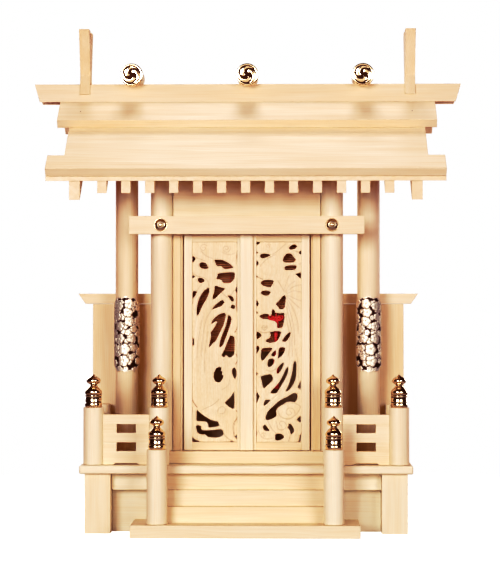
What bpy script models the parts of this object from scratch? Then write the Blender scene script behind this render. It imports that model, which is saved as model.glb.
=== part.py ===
"""A household shrine (kamidana) in pale cypress, in the shinmei manner, with gilt fittings.

The front faces -Y, the ridge runs along X, and the origin is on the ground under the middle
of the whole shrine. All sizes are in metres. "Back" is a distance behind the base's front.
"""

import math

import bmesh
import bpy
from mathutils import Matrix, Vector

# Touching pieces keep this gap between them.
FIT = 0.0003
# A joined piece runs this far into its neighbour before the two are made one.
BITE = 0.0006
# Segments round the posts, the columns and the gilt caps.
POST_SIDES = 16
COLUMN_SIDES = 24
CAP_SIDES = 12
BILLET_SIDES = 16

# Base
BASE_W = 0.339
BASE_DEPTH = 0.122
BASE_H = 0.0624
BASE_SIDE_W = 0.027
BASE_RAIL_BACK = 0.010
BASE_RAIL_H = 0.0174
BASE_PANEL_BACK = 0.022
BASE_PANEL_T = 0.006
BASE_REAR_T = 0.008

# Stairs
STAIR_BOARD_T = 0.013
STAIR_BOARD_MARGIN = 0.027
STAIR_NOSE = 0.00285
STEP_COUNT = 3
STEP_GOING = 0.010
STEP_MARGIN = 0.0035
LAST_RISER_BACK = 0.004

# Deck
DECK_OVERHANG = 0.0055
DECK_T = 0.0088
DECK_REACH = 0.005
DECK_REAR = 0.005
DECK_ROUND = 0.0012

# Veranda posts, their gilt caps and the railings
POST_R = 0.01065
POST_TENON_R = 0.0060
POST_TENON_H = 0.0120
CORNER_POST_INSET = 0.0141
STAIR_POST_X = 0.0915
VERANDA_BACK = 0.008
VERANDA_POST_H = 0.0602
FOOT_POST_GAP = 0.00435
FOOT_POST_H = 0.0770
CAP_SKIRT_R = 0.0082
CAP_BAND_R = 0.0089
CAP_BAND_H = 0.0036
CAP_SHOULDER_H = 0.0172
CAP_NECK_R = 0.0032
CAP_NECK_RISE = 0.0063
CAP_BULB_R = 0.0074
CAP_BULB_HALF = 0.0044
CAP_BULB_RISE = 0.0045
CAP_TIP_RISE = 0.0070
CAP_STEP = 0.0012
RAIL_T = 0.007
RAIL_FOOT_H = 0.0142
RAIL_MIDDLE_H = 0.0100
RAIL_TOP_H = 0.0101
RAIL_WINDOW_H = 0.0092
RAIL_DRAIN_H = 0.0017
# A railing's windows and its drain, as shares of the clear length between its posts
RAIL_WINDOW_SHARE = 0.42
RAIL_DRAIN_SHARE = 0.56

# Columns of the shrine's front and the two free pillars under the ridge
COLUMN_R = 0.0119
COLUMN_X = 0.091
COLUMN_BACK = 0.042
PILLAR_R = 0.01225
RAIL_TO_PILLAR = 0.0293
SLEEVE_T = 0.0014
SLEEVE_HALF_H = 0.0412
SLEEVE_LIFT = 0.1366
SLEEVE_WRAP = math.radians(125)
SLEEVE_LOBE = 0.0016
SLEEVE_HOLE_R = 0.0030

# Beam across the columns and its gilt studs
BEAM_OVERHANG = 0.034
BEAM_H = 0.0192
BEAM_T = 0.0078
STUD_R = 0.0072
STUD_H = 0.0042

# Chamber
FLOOR_T = 0.0127
SILL_BACK = 0.022
WALL_T = 0.008
REAR_WALL_T = 0.006
JAMB_W = 0.008
BLIND_HEAD_T = 0.0058
BLIND_HEAD_H = 0.007
BLIND_T = 0.0012
BLIND_GAP = 0.0052
BLIND_SIDE_GAP = 0.0040
BLIND_DROP = 0.129
KNOT_X = 0.032
KNOT_DROP = 0.093
KNOT_R = 0.0095
TASSEL_R = 0.0034
TASSEL_H = 0.064
TASSEL_FLAT = 0.0019
CORD_W = 0.0016

# Doors
DOOR_H = 0.2300
DOOR_T = 0.007
DOOR_OUTER_STILE = 0.0087
DOOR_INNER_STILE = 0.0098
DOOR_TOP_RAIL = 0.0073
DOOR_FOOT_RAIL = 0.0084
DOOR_SIDE_GAP = 0.0036
DOOR_MEETING_GAP = 0.0006
DOOR_CLEARANCE = 0.0004
DOOR_LIP = 0.0012
PANEL_T = 0.0042
PANEL_MARGIN = 0.0020
PIVOT_R = 0.0015
PIVOT_L = 0.0028
PIVOT_INSET = 0.0035
PIVOT_PLAY = 0.0002
MEETING_BAR_W = 0.0135
MEETING_BAR_T = 0.0036

# Wing screens beside the chamber
WING_INSET = 0.0042
WING_SETBACK = 0.006
WING_T = 0.008
WING_H = 0.1695
WING_CAP_H = 0.011
WING_CAP_T = 0.012
WING_CAP_OVERHANG = 0.008
WING_CAP_RAKE = 0.0078

# Roof
RIDGE_BACK = 0.078
EAVE_RUN = 0.104
REAR_RUN = 0.050
EAVE_TOP = 0.3818
PITCH = math.radians(36)
ROOF_T = 0.0098
ROOF_W = 0.382
EAVE_STRIP = 0.0224
EAVE_STRIP_REACH = 0.01785
LINING_T = 0.0036
RAFTER_W = 0.0097
RAFTER_D = 0.0112
RAFTER_COUNT = 13
RAFTER_SETBACK = 0.0075
BARGE_INSET = 0.0123
BARGE_W = 0.0112
BARGE_D = 0.0169
BARGE_TO_RAFTER = 0.0287
OVERLAY_REACH = 0.0123
OVERLAY_T = 0.0098
OVERLAY_RUN = 0.044

# Ridge
RIDGE_CAP_REACH = 0.02205
RIDGE_CAP_RAKE = 0.00625
RIDGE_CAP_TOP_HALF = 0.0085
RIDGE_CAP_FOOT_HALF = 0.0137
RIDGE_CAP_H = 0.020
CHIGI_INSET = 0.04885
CHIGI_T = 0.011
CHIGI_W = 0.014
CHIGI_LEAN = math.radians(17)
CHIGI_CROSSING = 0.010
CHIGI_RISE = 0.0585
CHIGI_FOOT = 0.0116
BILLET_R = 0.0110
BILLET_L = 0.046
BILLET_PITCH = 0.125
BILLET_SEAT = 0.0023
CREST_WALL = 0.0007
CREST_SKIRT = 0.0065
CREST_FACE_T = 0.0008
CREST_RIM = 0.0014
CREST_RELIEF = 0.0009

# Places worked out from the sizes above
FIRST_RISER_REACH = (STEP_COUNT - 1) * STEP_GOING - LAST_RISER_BACK
FOOT_POST_AHEAD = FIRST_RISER_REACH + FOOT_POST_GAP + POST_R
STAIR_REACH = FOOT_POST_AHEAD + POST_R + STAIR_NOSE
BASE_Y = STAIR_REACH - (STAIR_REACH + RIDGE_BACK + REAR_RUN) / 2
RIDGE_Y = BASE_Y + RIDGE_BACK
DECK_Z = BASE_H + FIT
DECK_TOP = DECK_Z + DECK_T
STAND_Z = DECK_TOP + FIT
COLUMN_Y = BASE_Y + COLUMN_BACK
VERANDA_Y = BASE_Y + VERANDA_BACK
FOOT_POST_Y = BASE_Y - FOOT_POST_AHEAD
FOOT_POST_Z = STAIR_BOARD_T + FIT
DECK_HALF_W = BASE_W / 2 + DECK_OVERHANG
CORNER_POST_X = DECK_HALF_W - CORNER_POST_INSET
PILLAR_X = CORNER_POST_X - RAIL_TO_PILLAR
WING_HALF_W = DECK_HALF_W - WING_INSET
FLOOR_TOP = STAND_Z + FLOOR_T
JAMB_X = COLUMN_X - COLUMN_R - FIT
DOORWAY_X = JAMB_X - JAMB_W
DOOR_EDGE = DOORWAY_X - DOOR_SIDE_GAP
DOOR_Z = FLOOR_TOP + DOOR_CLEARANCE
LINTEL_Z = DOOR_Z + DOOR_H + DOOR_CLEARANCE
PIVOT_X = DOOR_EDGE - PIVOT_INSET
SIDE_WALL_IN = COLUMN_X - COLUMN_R / 2 - FIT * 4
SIDE_WALL_OUT = SIDE_WALL_IN + WALL_T
REAR_WALL_Y = 2 * RIDGE_Y - COLUMN_Y
WING_Y = REAR_WALL_Y - WING_SETBACK - WING_T
REAR_POST_Y = WING_Y - FIT - POST_R
BARGE_X = ROOF_W / 2 - BARGE_INSET
EAVE_HALF_W = ROOF_W / 2 + EAVE_STRIP_REACH
OVERLAY_HALF_W = ROOF_W / 2 + OVERLAY_REACH
RIDGE_CAP_HALF_W = OVERLAY_HALF_W + RIDGE_CAP_REACH
CHIGI_X = RIDGE_CAP_HALF_W - CHIGI_INSET
RIDGE_TOP = EAVE_TOP + EAVE_RUN * math.tan(PITCH)
RAFTER_TOP_DEPTH = ROOF_T + FIT + LINING_T
RAFTER_FOOT_DEPTH = RAFTER_TOP_DEPTH + RAFTER_D
OVERLAY_TOP = RIDGE_TOP + (OVERLAY_T + FIT) / math.cos(PITCH)
CAP_FOOT_Z = OVERLAY_TOP - RIDGE_CAP_FOOT_HALF * math.tan(PITCH) + FIT
CAP_TOP_Z = CAP_FOOT_Z + RIDGE_CAP_H
BILLET_Z = CAP_TOP_Z + BILLET_R - BILLET_SEAT
CREST_R = BILLET_R + FIT + CREST_WALL

# The local plane of a flat piece: its first two axes lie in the board, the third across it.
PLANES = {
    "XY": Matrix(((1, 0, 0), (0, 1, 0), (0, 0, 1))).to_4x4(),
    "XZ": Matrix(((1, 0, 0), (0, 0, -1), (0, 1, 0))).to_4x4(),
    "YZ": Matrix(((0, 0, 1), (1, 0, 0), (0, 1, 0))).to_4x4(),
}

# The carver's drawing of each door panel. It is this many units wide and high, and is drawn
# out to the size of the panel that shows. Each opening has its middle, across and up from the
# panel's lower left corner, its length, width, turn in degrees, bow, taper and shape.
DRAWING_W = 48.4
DRAWING_H = 214.3
LEFT_OPENINGS = (
    (1.8, 197.2, 6.0, 3.2, 90, 0.0, 0.0, "oval"),
    (12.9, 190.0, 9.5, 5.6, -22, 0.0, 0.0, "oval"),
    (34.4, 190.6, 21.0, 6.8, -22, 1.0, -0.3, "oval"),
    (1.4, 178.2, 3.4, 2.4, 90, 0.0, 0.0, "oval"),
    (10.0, 174.4, 7.6, 5.0, -10, 0.0, 0.0, "oval"),
    (36.6, 176.6, 18.6, 10.6, -4, 0.0, -0.15, "block"),
    (27.4, 161.8, 15.6, 8.6, 60, 0.0, 0.6, "oval"),
    (12.6, 150.4, 31.5, 7.0, 67, 0.9, 0.1, "leaf"),
    (2.4, 158.6, 8.0, 4.2, 80, 0.0, -0.7, "oval"),
    (46.9, 164.2, 6.6, 3.0, 100, 0.0, 0.0, "oval"),
    (27.6, 147.0, 15.0, 6.2, 38, 0.0, 0.35, "leaf"),
    (41.9, 154.4, 8.6, 4.4, -50, 0.0, 0.0, "oval"),
    (43.6, 146.2, 5.0, 4.2, 90, 0.0, 0.0, "oval"),
    (26.0, 121.0, 37.0, 8.4, 68, 1.6, 0.3, "leaf"),
    (36.0, 120.6, 34.0, 6.4, 73, -1.0, 0.3, "leaf"),
    (40.2, 101.6, 23.0, 9.6, 70, 0.0, -0.35, "oval"),
    (1.5, 108.4, 7.6, 2.4, 90, 0.0, 0.0, "oval"),
    (28.8, 72.6, 16.6, 9.6, 86, 1.0, 0.0, "oval"),
    (45.2, 73.6, 12.4, 4.4, 96, 0.0, 0.0, "oval"),
    (40.8, 44.8, 9.6, 12.6, 0, 0.0, 0.75, "block"),
    (11.0, 27.0, 15.0, 8.4, -38, -1.0, -0.6, "oval"),
    (23.6, 19.2, 11.6, 6.2, -4, 0.0, 0.0, "block"),
    (21.4, 9.2, 25.0, 7.0, -7, 0.0, 0.25, "oval"),
    (6.9, 15.2, 4.6, 4.2, 90, 0.0, 0.0, "block"),
    (3.2, 3.0, 8.0, 3.6, -30, 0.0, -0.6, "oval"),
    (42.4, 1.5, 4.0, 2.6, 20, 0.0, 0.0, "oval"),
)
RIGHT_OPENINGS = (
    (2.2, 214.4, 4.2, 2.6, 20, 0.0, 0.0, "oval"),
    (1.4, 204.0, 3.0, 2.0, 90, 0.0, 0.0, "oval"),
    (9.4, 200.6, 10.6, 4.6, 4, 0.0, 0.0, "oval"),
    (39.6, 210.2, 8.6, 4.8, 18, 0.0, 0.0, "oval"),
    (35.8, 198.0, 13.4, 9.0, -4, 0.0, 0.0, "block"),
    (36.8, 187.4, 13.0, 5.0, 4, 0.0, 0.0, "block"),
    (47.2, 204.2, 4.0, 2.2, 90, 0.0, 0.0, "oval"),
    (46.2, 179.8, 7.0, 4.4, 104, 0.0, 0.6, "oval"),
    (1.5, 192.2, 5.6, 2.4, 90, 0.0, 0.0, "oval"),
    (11.4, 171.0, 13.6, 6.8, -3, 0.0, 0.0, "block"),
    (10.0, 160.4, 11.2, 5.0, 0, 0.0, 0.0, "oval"),
    (1.5, 149.4, 6.4, 2.4, 90, 0.0, 0.0, "oval"),
    (1.4, 139.6, 3.0, 2.0, 90, 0.0, 0.0, "oval"),
    (27.6, 149.6, 16.0, 7.0, 62, 0.0, -0.6, "oval"),
    (9.0, 135.2, 10.4, 4.6, 4, 0.0, 0.0, "oval"),
    (23.2, 131.6, 18.4, 9.6, -52, 1.6, 0.1, "oval"),
    (20.0, 114.0, 16.2, 9.8, 14, 0.0, -0.15, "block"),
    (32.4, 113.0, 13.2, 4.4, 52, 0.0, 0.0, "leaf"),
    (2.2, 114.6, 7.0, 4.0, 84, 0.0, -0.4, "oval"),
    (10.6, 95.0, 14.6, 9.6, 68, 0.0, 0.5, "oval"),
    (18.9, 94.6, 8.0, 3.6, 62, 0.0, 0.0, "leaf"),
    (27.8, 96.0, 13.2, 6.0, 62, 0.0, 0.5, "oval"),
    (1.8, 98.2, 8.6, 3.0, 88, 0.0, 0.0, "oval"),
    (15.2, 85.0, 9.2, 6.4, 74, 0.0, 0.0, "oval"),
    (26.2, 80.2, 13.4, 5.2, 62, 0.0, 0.0, "leaf"),
    (11.2, 65.2, 14.6, 11.6, 80, 0.0, 0.25, "block"),
    (25.6, 66.2, 33.0, 7.6, 56, -2.0, -0.2, "leaf"),
    (38.0, 69.2, 32.6, 6.8, 72, -1.4, 0.1, "leaf"),
    (46.8, 61.2, 9.0, 3.2, 88, 0.0, -0.5, "oval"),
    (2.2, 48.8, 9.6, 3.6, 86, 0.0, -0.4, "oval"),
    (11.4, 41.8, 8.2, 5.4, 34, 0.0, 0.0, "oval"),
    (27.8, 36.4, 40.0, 8.6, 37, 5.0, -0.1, "oval"),
    (46.4, 24.8, 7.0, 4.4, 70, 0.0, 0.0, "oval"),
    (11.0, 14.8, 7.6, 5.8, -52, 0.0, 0.0, "oval"),
    (37.8, 15.0, 11.0, 5.8, -66, 1.0, 0.0, "oval"),
    (25.2, 6.0, 9.6, 6.8, 4, 0.0, 0.0, "block"),
    (46.7, 3.8, 7.2, 3.6, 80, 0.0, -0.3, "oval"),
)
# Raised forms on each panel: across, up, length, width and turn on the drawing, and their height.
LEFT_RELIEFS = (
    (36.6, 206.4, 13.0, 9.4, 0, 0.0007),
    (15.0, 66.0, 58.0, 19.0, 84, 0.0009),
    (31.0, 33.0, 13.0, 9.6, 0, 0.0008),
)
RIGHT_RELIEFS = (
    (13.0, 212.0, 9.0, 6.6, 0, 0.0006),
    (13.6, 184.6, 17.0, 11.0, -8, 0.0008),
    (42.2, 148.0, 42.0, 9.0, 84, 0.0008),
    (10.4, 124.6, 15.0, 7.6, 0, 0.0007),
    (36.4, 27.4, 16.0, 11.0, 0, 0.0009),
    (26.6, 17.0, 10.6, 7.0, 0, 0.0007),
)
# How far each shape's sides and ends are drawn in (over 1) or squared out (under 1).
OPENING_SHAPES = {"leaf": (1.7, 1.0), "oval": (1.0, 1.0), "block": (0.55, 0.55)}
# Points round an opening, fewer where it is short on the drawing, and sides of a raised form.
OPENING_POINTS = 10
SHORT_OPENING_POINTS = 6
SHORT_OPENING = 9.5
RELIEF_SIDES = 8

PALE_WOOD = ("pale_cypress", (0.93, 0.80, 0.60), 0.55, 0.0)
GILT = ("gilt_brass", (0.95, 0.68, 0.30), 0.16, 1.0)
REED = ("reed_blind", (0.42, 0.27, 0.15), 0.70, 0.0)


def clear_scene():
    """Start from an empty file."""
    for obj in list(bpy.data.objects):
        bpy.data.objects.remove(obj, do_unlink=True)


def new_collection(name):
    """Add a collection of this name to the scene."""
    collection = bpy.data.collections.new(name)
    bpy.context.scene.collection.children.link(collection)
    return collection


def material(look):
    """Return the material of a look: its name, colour, roughness and metallic value."""
    name, colour, roughness, metallic = look
    found = bpy.data.materials.get(name)
    if found:
        return found
    made = bpy.data.materials.new(name)
    made.use_nodes = True
    shader = made.node_tree.nodes["Principled BSDF"]
    shader.inputs["Base Color"].default_value = (*colour, 1.0)
    shader.inputs["Roughness"].default_value = roughness
    shader.inputs["Metallic"].default_value = metallic
    made.diffuse_color = (*colour, 1.0)
    return made


def add_piece(name, mesh, look=PALE_WOOD):
    """Put a finished mesh in the shrine as a named piece."""
    obj = bpy.data.objects.new(name, mesh)
    mesh.materials.clear()
    mesh.materials.append(material(look))
    SHRINE.objects.link(obj)
    return obj


def add_cutter(name, mesh):
    """Put a mesh among the cutters, out of the render."""
    obj = bpy.data.objects.new(name, mesh)
    CUTTERS.objects.link(obj)
    obj.hide_render = True
    obj.display_type = "WIRE"
    return obj


def combine(target, other, operation):
    """Cut the target with another solid, or join the two."""
    modifier = target.modifiers.new(other.name, "BOOLEAN")
    modifier.operation = operation
    modifier.solver = "EXACT"
    modifier.object = other


def mesh_from(name, bm):
    """Close a bmesh into a mesh whose faces point outwards."""
    bmesh.ops.recalc_face_normals(bm, faces=bm.faces)
    if bm.calc_volume(signed=True) < 0:
        bmesh.ops.reverse_faces(bm, faces=bm.faces)
    mesh = bpy.data.meshes.new(name)
    bm.to_mesh(mesh)
    bm.free()
    return mesh


def box_mesh(name, x_span, y_span, z_span):
    """A block between two values on each axis."""
    spans = (x_span, y_span, z_span)
    size = Vector([span[1] - span[0] for span in spans])
    middle = Vector([(span[1] + span[0]) / 2 for span in spans])
    bm = bmesh.new()
    bmesh.ops.create_cube(bm, size=1.0, matrix=Matrix.Translation(middle) @ Matrix.Diagonal(size).to_4x4())
    return mesh_from(name, bm)


def rod_mesh(name, centre, radius, length, axis="Z", sides=COLUMN_SIDES):
    """A round bar that starts at centre and runs its length along an axis."""
    turns = {"Z": Matrix.Identity(4), "Y": Matrix.Rotation(-math.pi / 2, 4, "X")}
    place = Matrix.Translation(centre) @ turns[axis] @ Matrix.Translation((0, 0, length / 2))
    bm = bmesh.new()
    bmesh.ops.create_cone(bm, cap_ends=True, segments=sides, radius1=radius, radius2=radius,
                          depth=length, matrix=place)
    return mesh_from(name, bm)


def flat_mesh(name, outlines, span, plane):
    """A board with an edge outline, and holes if more are given, across a span of its plane."""
    curve = bpy.data.curves.new(name, "CURVE")
    curve.dimensions = "2D"
    curve.fill_mode = "BOTH"
    across = -1 if plane == "XZ" else 1
    curve.extrude = (span[1] - span[0]) / 2
    for outline in outlines:
        spline = curve.splines.new("POLY")
        spline.points.add(len(outline) - 1)
        for point, (u, v) in zip(spline.points, outline):
            point.co = (u, v, 0.0, 1.0)
        spline.use_cyclic_u = True
    guide = bpy.data.objects.new(name, curve)
    CUTTERS.objects.link(guide)
    bpy.context.view_layer.update()
    depsgraph = bpy.context.evaluated_depsgraph_get()
    flat = bpy.data.meshes.new_from_object(guide.evaluated_get(depsgraph))
    bpy.data.objects.remove(guide, do_unlink=True)
    bpy.data.curves.remove(curve)
    bm = bmesh.new()
    bm.from_mesh(flat)
    bpy.data.meshes.remove(flat)
    bmesh.ops.remove_doubles(bm, verts=bm.verts, dist=0.00001)
    middle = across * (span[0] + span[1]) / 2
    bm.transform(PLANES[plane] @ Matrix.Translation((0, 0, middle)))
    return mesh_from(name, bm)


def turned_piece(name, profile, look, sides, place):
    """A turned piece: a profile from the top down its outer side, screwed about its own Z axis."""
    mesh = bpy.data.meshes.new(name)
    edges = [(i, i + 1) for i in range(len(profile) - 1)]
    mesh.from_pydata([(radius, 0.0, height) for radius, height in profile], edges, [])
    obj = add_piece(name, mesh, look)
    obj.matrix_world = place
    screw = obj.modifiers.new("turning", "SCREW")
    screw.axis = "Z"
    screw.angle = math.tau
    screw.steps = sides
    screw.render_steps = sides
    screw.use_merge_vertices = True
    screw.merge_threshold = 0.00001
    screw.use_smooth_shade = True
    return obj


def shade_round(obj):
    """Shade the round faces smooth and keep the edges sharp."""
    obj.data.shade_smooth()
    obj.data.set_sharp_from_angle(angle=math.radians(40))


def roof_height(y, depth=0.0):
    """Height of a plane that lies this far, square to the slope, under the roof board's top."""
    return RIDGE_TOP - abs(y - RIDGE_Y) * math.tan(PITCH) - depth / math.cos(PITCH)


def trim_under_rafters(mesh):
    """Cut a mesh off just below the rafters, on both slopes."""
    depth = RAFTER_FOOT_DEPTH + FIT
    bm = bmesh.new()
    bm.from_mesh(mesh)
    for side in (-1, 1):
        cut = bmesh.ops.bisect_plane(
            bm, geom=bm.verts[:] + bm.edges[:] + bm.faces[:], dist=0.000001,
            plane_co=(0.0, RIDGE_Y, roof_height(RIDGE_Y, depth)),
            plane_no=(0.0, side * math.sin(PITCH), math.cos(PITCH)), clear_outer=True)
        rim = [part for part in cut["geom_cut"] if isinstance(part, bmesh.types.BMEdge)]
        bmesh.ops.edgeloop_fill(bm, edges=rim)
    bmesh.ops.recalc_face_normals(bm, faces=bm.faces)
    bm.to_mesh(mesh)
    bm.free()
    return mesh


def rectangle(u_span, v_span):
    """The four corners of an upright rectangle."""
    (u0, u1), (v0, v1) = u_span, v_span
    return [(u0, v0), (u1, v0), (u1, v1), (u0, v1)]


def side_name(sign):
    """Left and right as seen from the front."""
    return "left" if sign < 0 else "right"


def span_from(start, length):
    """A span that starts at a value and has a length."""
    return (start, start + length)


def mirrored_span(sign, near, far):
    """A span on one side of the middle, low value first."""
    return tuple(sorted((sign * near, sign * far)))


def make_base():
    """Two side blocks, a front board with its recessed panel, and a rear board."""
    inner = BASE_W / 2 - BASE_SIDE_W
    for sign in (-1, 1):
        name = f"base_side_{side_name(sign)}"
        x_span = mirrored_span(sign, inner, BASE_W / 2)
        add_piece(name, box_mesh(name, x_span, span_from(BASE_Y, BASE_DEPTH), (0.0, BASE_H)))
    rail_y = BASE_Y + BASE_RAIL_BACK
    panel_y = BASE_Y + BASE_PANEL_BACK
    panel_rear = panel_y + BASE_PANEL_T
    rail_z = BASE_H - BASE_RAIL_H
    section = [(rail_y, rail_z), (panel_y, rail_z), (panel_y, 0.0), (panel_rear, 0.0),
               (panel_rear, BASE_H), (rail_y, BASE_H)]
    between = (-inner + FIT, inner - FIT)
    add_piece("base_front_board", flat_mesh("base_front_board", [section], between, "YZ"))
    rear = BASE_Y + BASE_DEPTH
    add_piece("base_rear_board",
              box_mesh("base_rear_board", between, (rear - BASE_REAR_T, rear), (0.0, BASE_H)))


def make_stairs():
    """A broad bottom board with a flight of steps up to the deck."""
    board_rear = BASE_Y + BASE_PANEL_BACK - FIT
    board_half = STAIR_POST_X + STAIR_BOARD_MARGIN
    board = box_mesh("stairs", (-board_half, board_half), (BASE_Y - STAIR_REACH, board_rear),
                     (0.0, STAIR_BOARD_T))
    stairs = add_piece("stairs", board)
    rise = (DECK_Z - STAIR_BOARD_T) / STEP_COUNT
    flight_rear = BASE_Y + BASE_RAIL_BACK - FIT
    section = [(flight_rear, STAIR_BOARD_T - BITE)]
    height = STAIR_BOARD_T - BITE
    for step in range(STEP_COUNT):
        front = BASE_Y - FIRST_RISER_REACH + step * STEP_GOING
        section.append((front, height))
        height = STAIR_BOARD_T + (step + 1) * rise - (FIT if step == STEP_COUNT - 1 else 0.0)
        section.append((front, height))
    section.append((flight_rear, height))
    half = STAIR_POST_X + STEP_MARGIN
    flight = add_cutter("step_flight", flat_mesh("step_flight", [section], (-half, half), "YZ"))
    combine(stairs, flight, "UNION")


def make_deck():
    """The veranda floor that the whole shrine stands on."""
    deck = add_piece("deck", box_mesh("deck", (-DECK_HALF_W, DECK_HALF_W),
                                      (BASE_Y - DECK_REACH, BASE_Y + BASE_DEPTH + DECK_REAR),
                                      (DECK_Z, DECK_TOP)))
    rounding = deck.modifiers.new("rounding", "BEVEL")
    rounding.width = DECK_ROUND
    rounding.segments = 1


def post_profile(height):
    """A post with a thinner tenon on its top for the gilt cap."""
    return [(0.0, height + POST_TENON_H), (POST_TENON_R, height + POST_TENON_H),
            (POST_TENON_R, height), (POST_R, height), (POST_R, 0.0), (0.0, 0.0)]


def cap_profile():
    """An onion-shaped cap: a tip, a bulb, a neck ring, a shoulder and a banded skirt."""
    neck_h = CAP_SHOULDER_H + CAP_NECK_RISE
    bulb_h = neck_h + CAP_BULB_RISE
    profile = [(0.0, bulb_h + CAP_TIP_RISE)]
    for turn in (58, 30, 0, -32):
        angle = math.radians(turn)
        profile.append((CAP_BULB_R * math.cos(angle), bulb_h + CAP_BULB_HALF * math.sin(angle)))
    bore_r = POST_TENON_R + FIT
    bore_top = POST_TENON_H + FIT
    profile += [
        (CAP_NECK_R, neck_h),
        (CAP_NECK_R + CAP_STEP, neck_h - CAP_STEP),
        (CAP_BAND_R - CAP_STEP / 2, CAP_SHOULDER_H + CAP_STEP / 2),
        (CAP_BAND_R, CAP_SHOULDER_H - CAP_STEP),
        (CAP_SKIRT_R, CAP_SHOULDER_H - CAP_STEP * 2),
        (CAP_SKIRT_R, CAP_BAND_H + CAP_STEP / 2),
        (CAP_BAND_R, CAP_BAND_H),
        (CAP_BAND_R, FIT),
        (bore_r, FIT),
        (bore_r, bore_top),
        (0.0, bore_top),
    ]
    return profile


def make_posts():
    """Six round posts with onion caps: at the corners, the stair's top and the stair's foot."""
    places = (
        ("corner", CORNER_POST_X, VERANDA_Y, STAND_Z, VERANDA_POST_H),
        ("stair_top", STAIR_POST_X, VERANDA_Y, STAND_Z, VERANDA_POST_H),
        ("stair_foot", STAIR_POST_X, FOOT_POST_Y, FOOT_POST_Z, FOOT_POST_H),
    )
    for where, x, y, z, height in places:
        for sign in (-1, 1):
            side = side_name(sign)
            foot = Matrix.Translation((sign * x, y, z))
            head = Matrix.Translation((sign * x, y, z + height))
            turned_piece(f"{where}_post_{side}", post_profile(height), PALE_WOOD, POST_SIDES, foot)
            turned_piece(f"{where}_cap_{side}", cap_profile(), GILT, CAP_SIDES, head)


def railing_outlines(start, end, clear_start, clear_end):
    """Edge and windows of a railing whose clear length runs between two posts' faces."""
    foot = STAND_Z
    middle = (clear_start + clear_end) / 2
    clear = clear_end - clear_start
    drain = clear * RAIL_DRAIN_SHARE / 2
    half = clear * RAIL_WINDOW_SHARE / 2
    edge = [(start, foot), (middle - drain, foot), (middle - drain + RAIL_DRAIN_H, foot + RAIL_DRAIN_H),
            (middle + drain - RAIL_DRAIN_H, foot + RAIL_DRAIN_H), (middle + drain, foot), (end, foot)]
    low = foot + RAIL_FOOT_H
    high = low + RAIL_WINDOW_H + RAIL_MIDDLE_H
    top = high + RAIL_WINDOW_H + RAIL_TOP_H
    edge += [(end, top), (start, top)]
    window = (middle - half, middle + half)
    return [edge, rectangle(window, span_from(low, RAIL_WINDOW_H)),
            rectangle(window, span_from(high, RAIL_WINDOW_H))]


def make_railings():
    """Front railings between the posts, and side railings that end in a plain rear post."""
    clear = POST_R + FIT
    tall = VERANDA_POST_H + POST_TENON_H
    for sign in (-1, 1):
        side = side_name(sign)
        corner = add_cutter(f"corner_clearance_{side}", rod_mesh(
            "corner_clearance", (sign * CORNER_POST_X, VERANDA_Y, DECK_Z), clear, tall, sides=POST_SIDES))
        stair = add_cutter(f"stair_clearance_{side}", rod_mesh(
            "stair_clearance", (sign * STAIR_POST_X, VERANDA_Y, DECK_Z), clear, tall, sides=POST_SIDES))
        x_span = mirrored_span(sign, STAIR_POST_X, CORNER_POST_X)
        outlines = railing_outlines(*x_span, x_span[0] + POST_R, x_span[1] - POST_R)
        name = f"front_railing_{side}"
        y_span = (VERANDA_Y - RAIL_T / 2, VERANDA_Y + RAIL_T / 2)
        front = add_piece(name, flat_mesh(name, outlines, y_span, "XZ"))
        combine(front, corner, "DIFFERENCE")
        combine(front, stair, "DIFFERENCE")
        name = f"side_railing_{side}"
        outlines = railing_outlines(VERANDA_Y, REAR_POST_Y, VERANDA_Y + POST_R, REAR_POST_Y - POST_R)
        x_mid = sign * CORNER_POST_X
        rail = add_piece(name, flat_mesh(name, outlines, (x_mid - RAIL_T / 2, x_mid + RAIL_T / 2), "YZ"))
        rear = add_cutter(f"rear_post_{side}", rod_mesh(
            "rear_post", (x_mid, REAR_POST_Y, STAND_Z), POST_R, VERANDA_POST_H, sides=POST_SIDES))
        combine(rail, corner, "DIFFERENCE")
        combine(rail, rear, "UNION")


def make_columns():
    """Two round front columns and two free pillars that carry the ridge."""
    for sign in (-1, 1):
        side = side_name(sign)
        for kind, x, y, radius in (("front_column", COLUMN_X, COLUMN_Y, COLUMN_R),
                                   ("ridge_pillar", PILLAR_X, RIDGE_Y, PILLAR_R)):
            name = f"{kind}_{side}"
            mesh = rod_mesh(name, (sign * x, y, STAND_Z), radius, EAVE_TOP)
            shade_round(add_piece(name, trim_under_rafters(mesh)))


def sleeve_half_height(share):
    """Half height of the gilt sleeve at a share of its wrap: a long rounded shield with lobes."""
    shield = (1 - abs(share) ** 2.6) ** 0.5
    return SLEEVE_HALF_H * shield - SLEEVE_LOBE * (1 - math.cos(math.tau * 3 * share)) / 2 * shield


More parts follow.
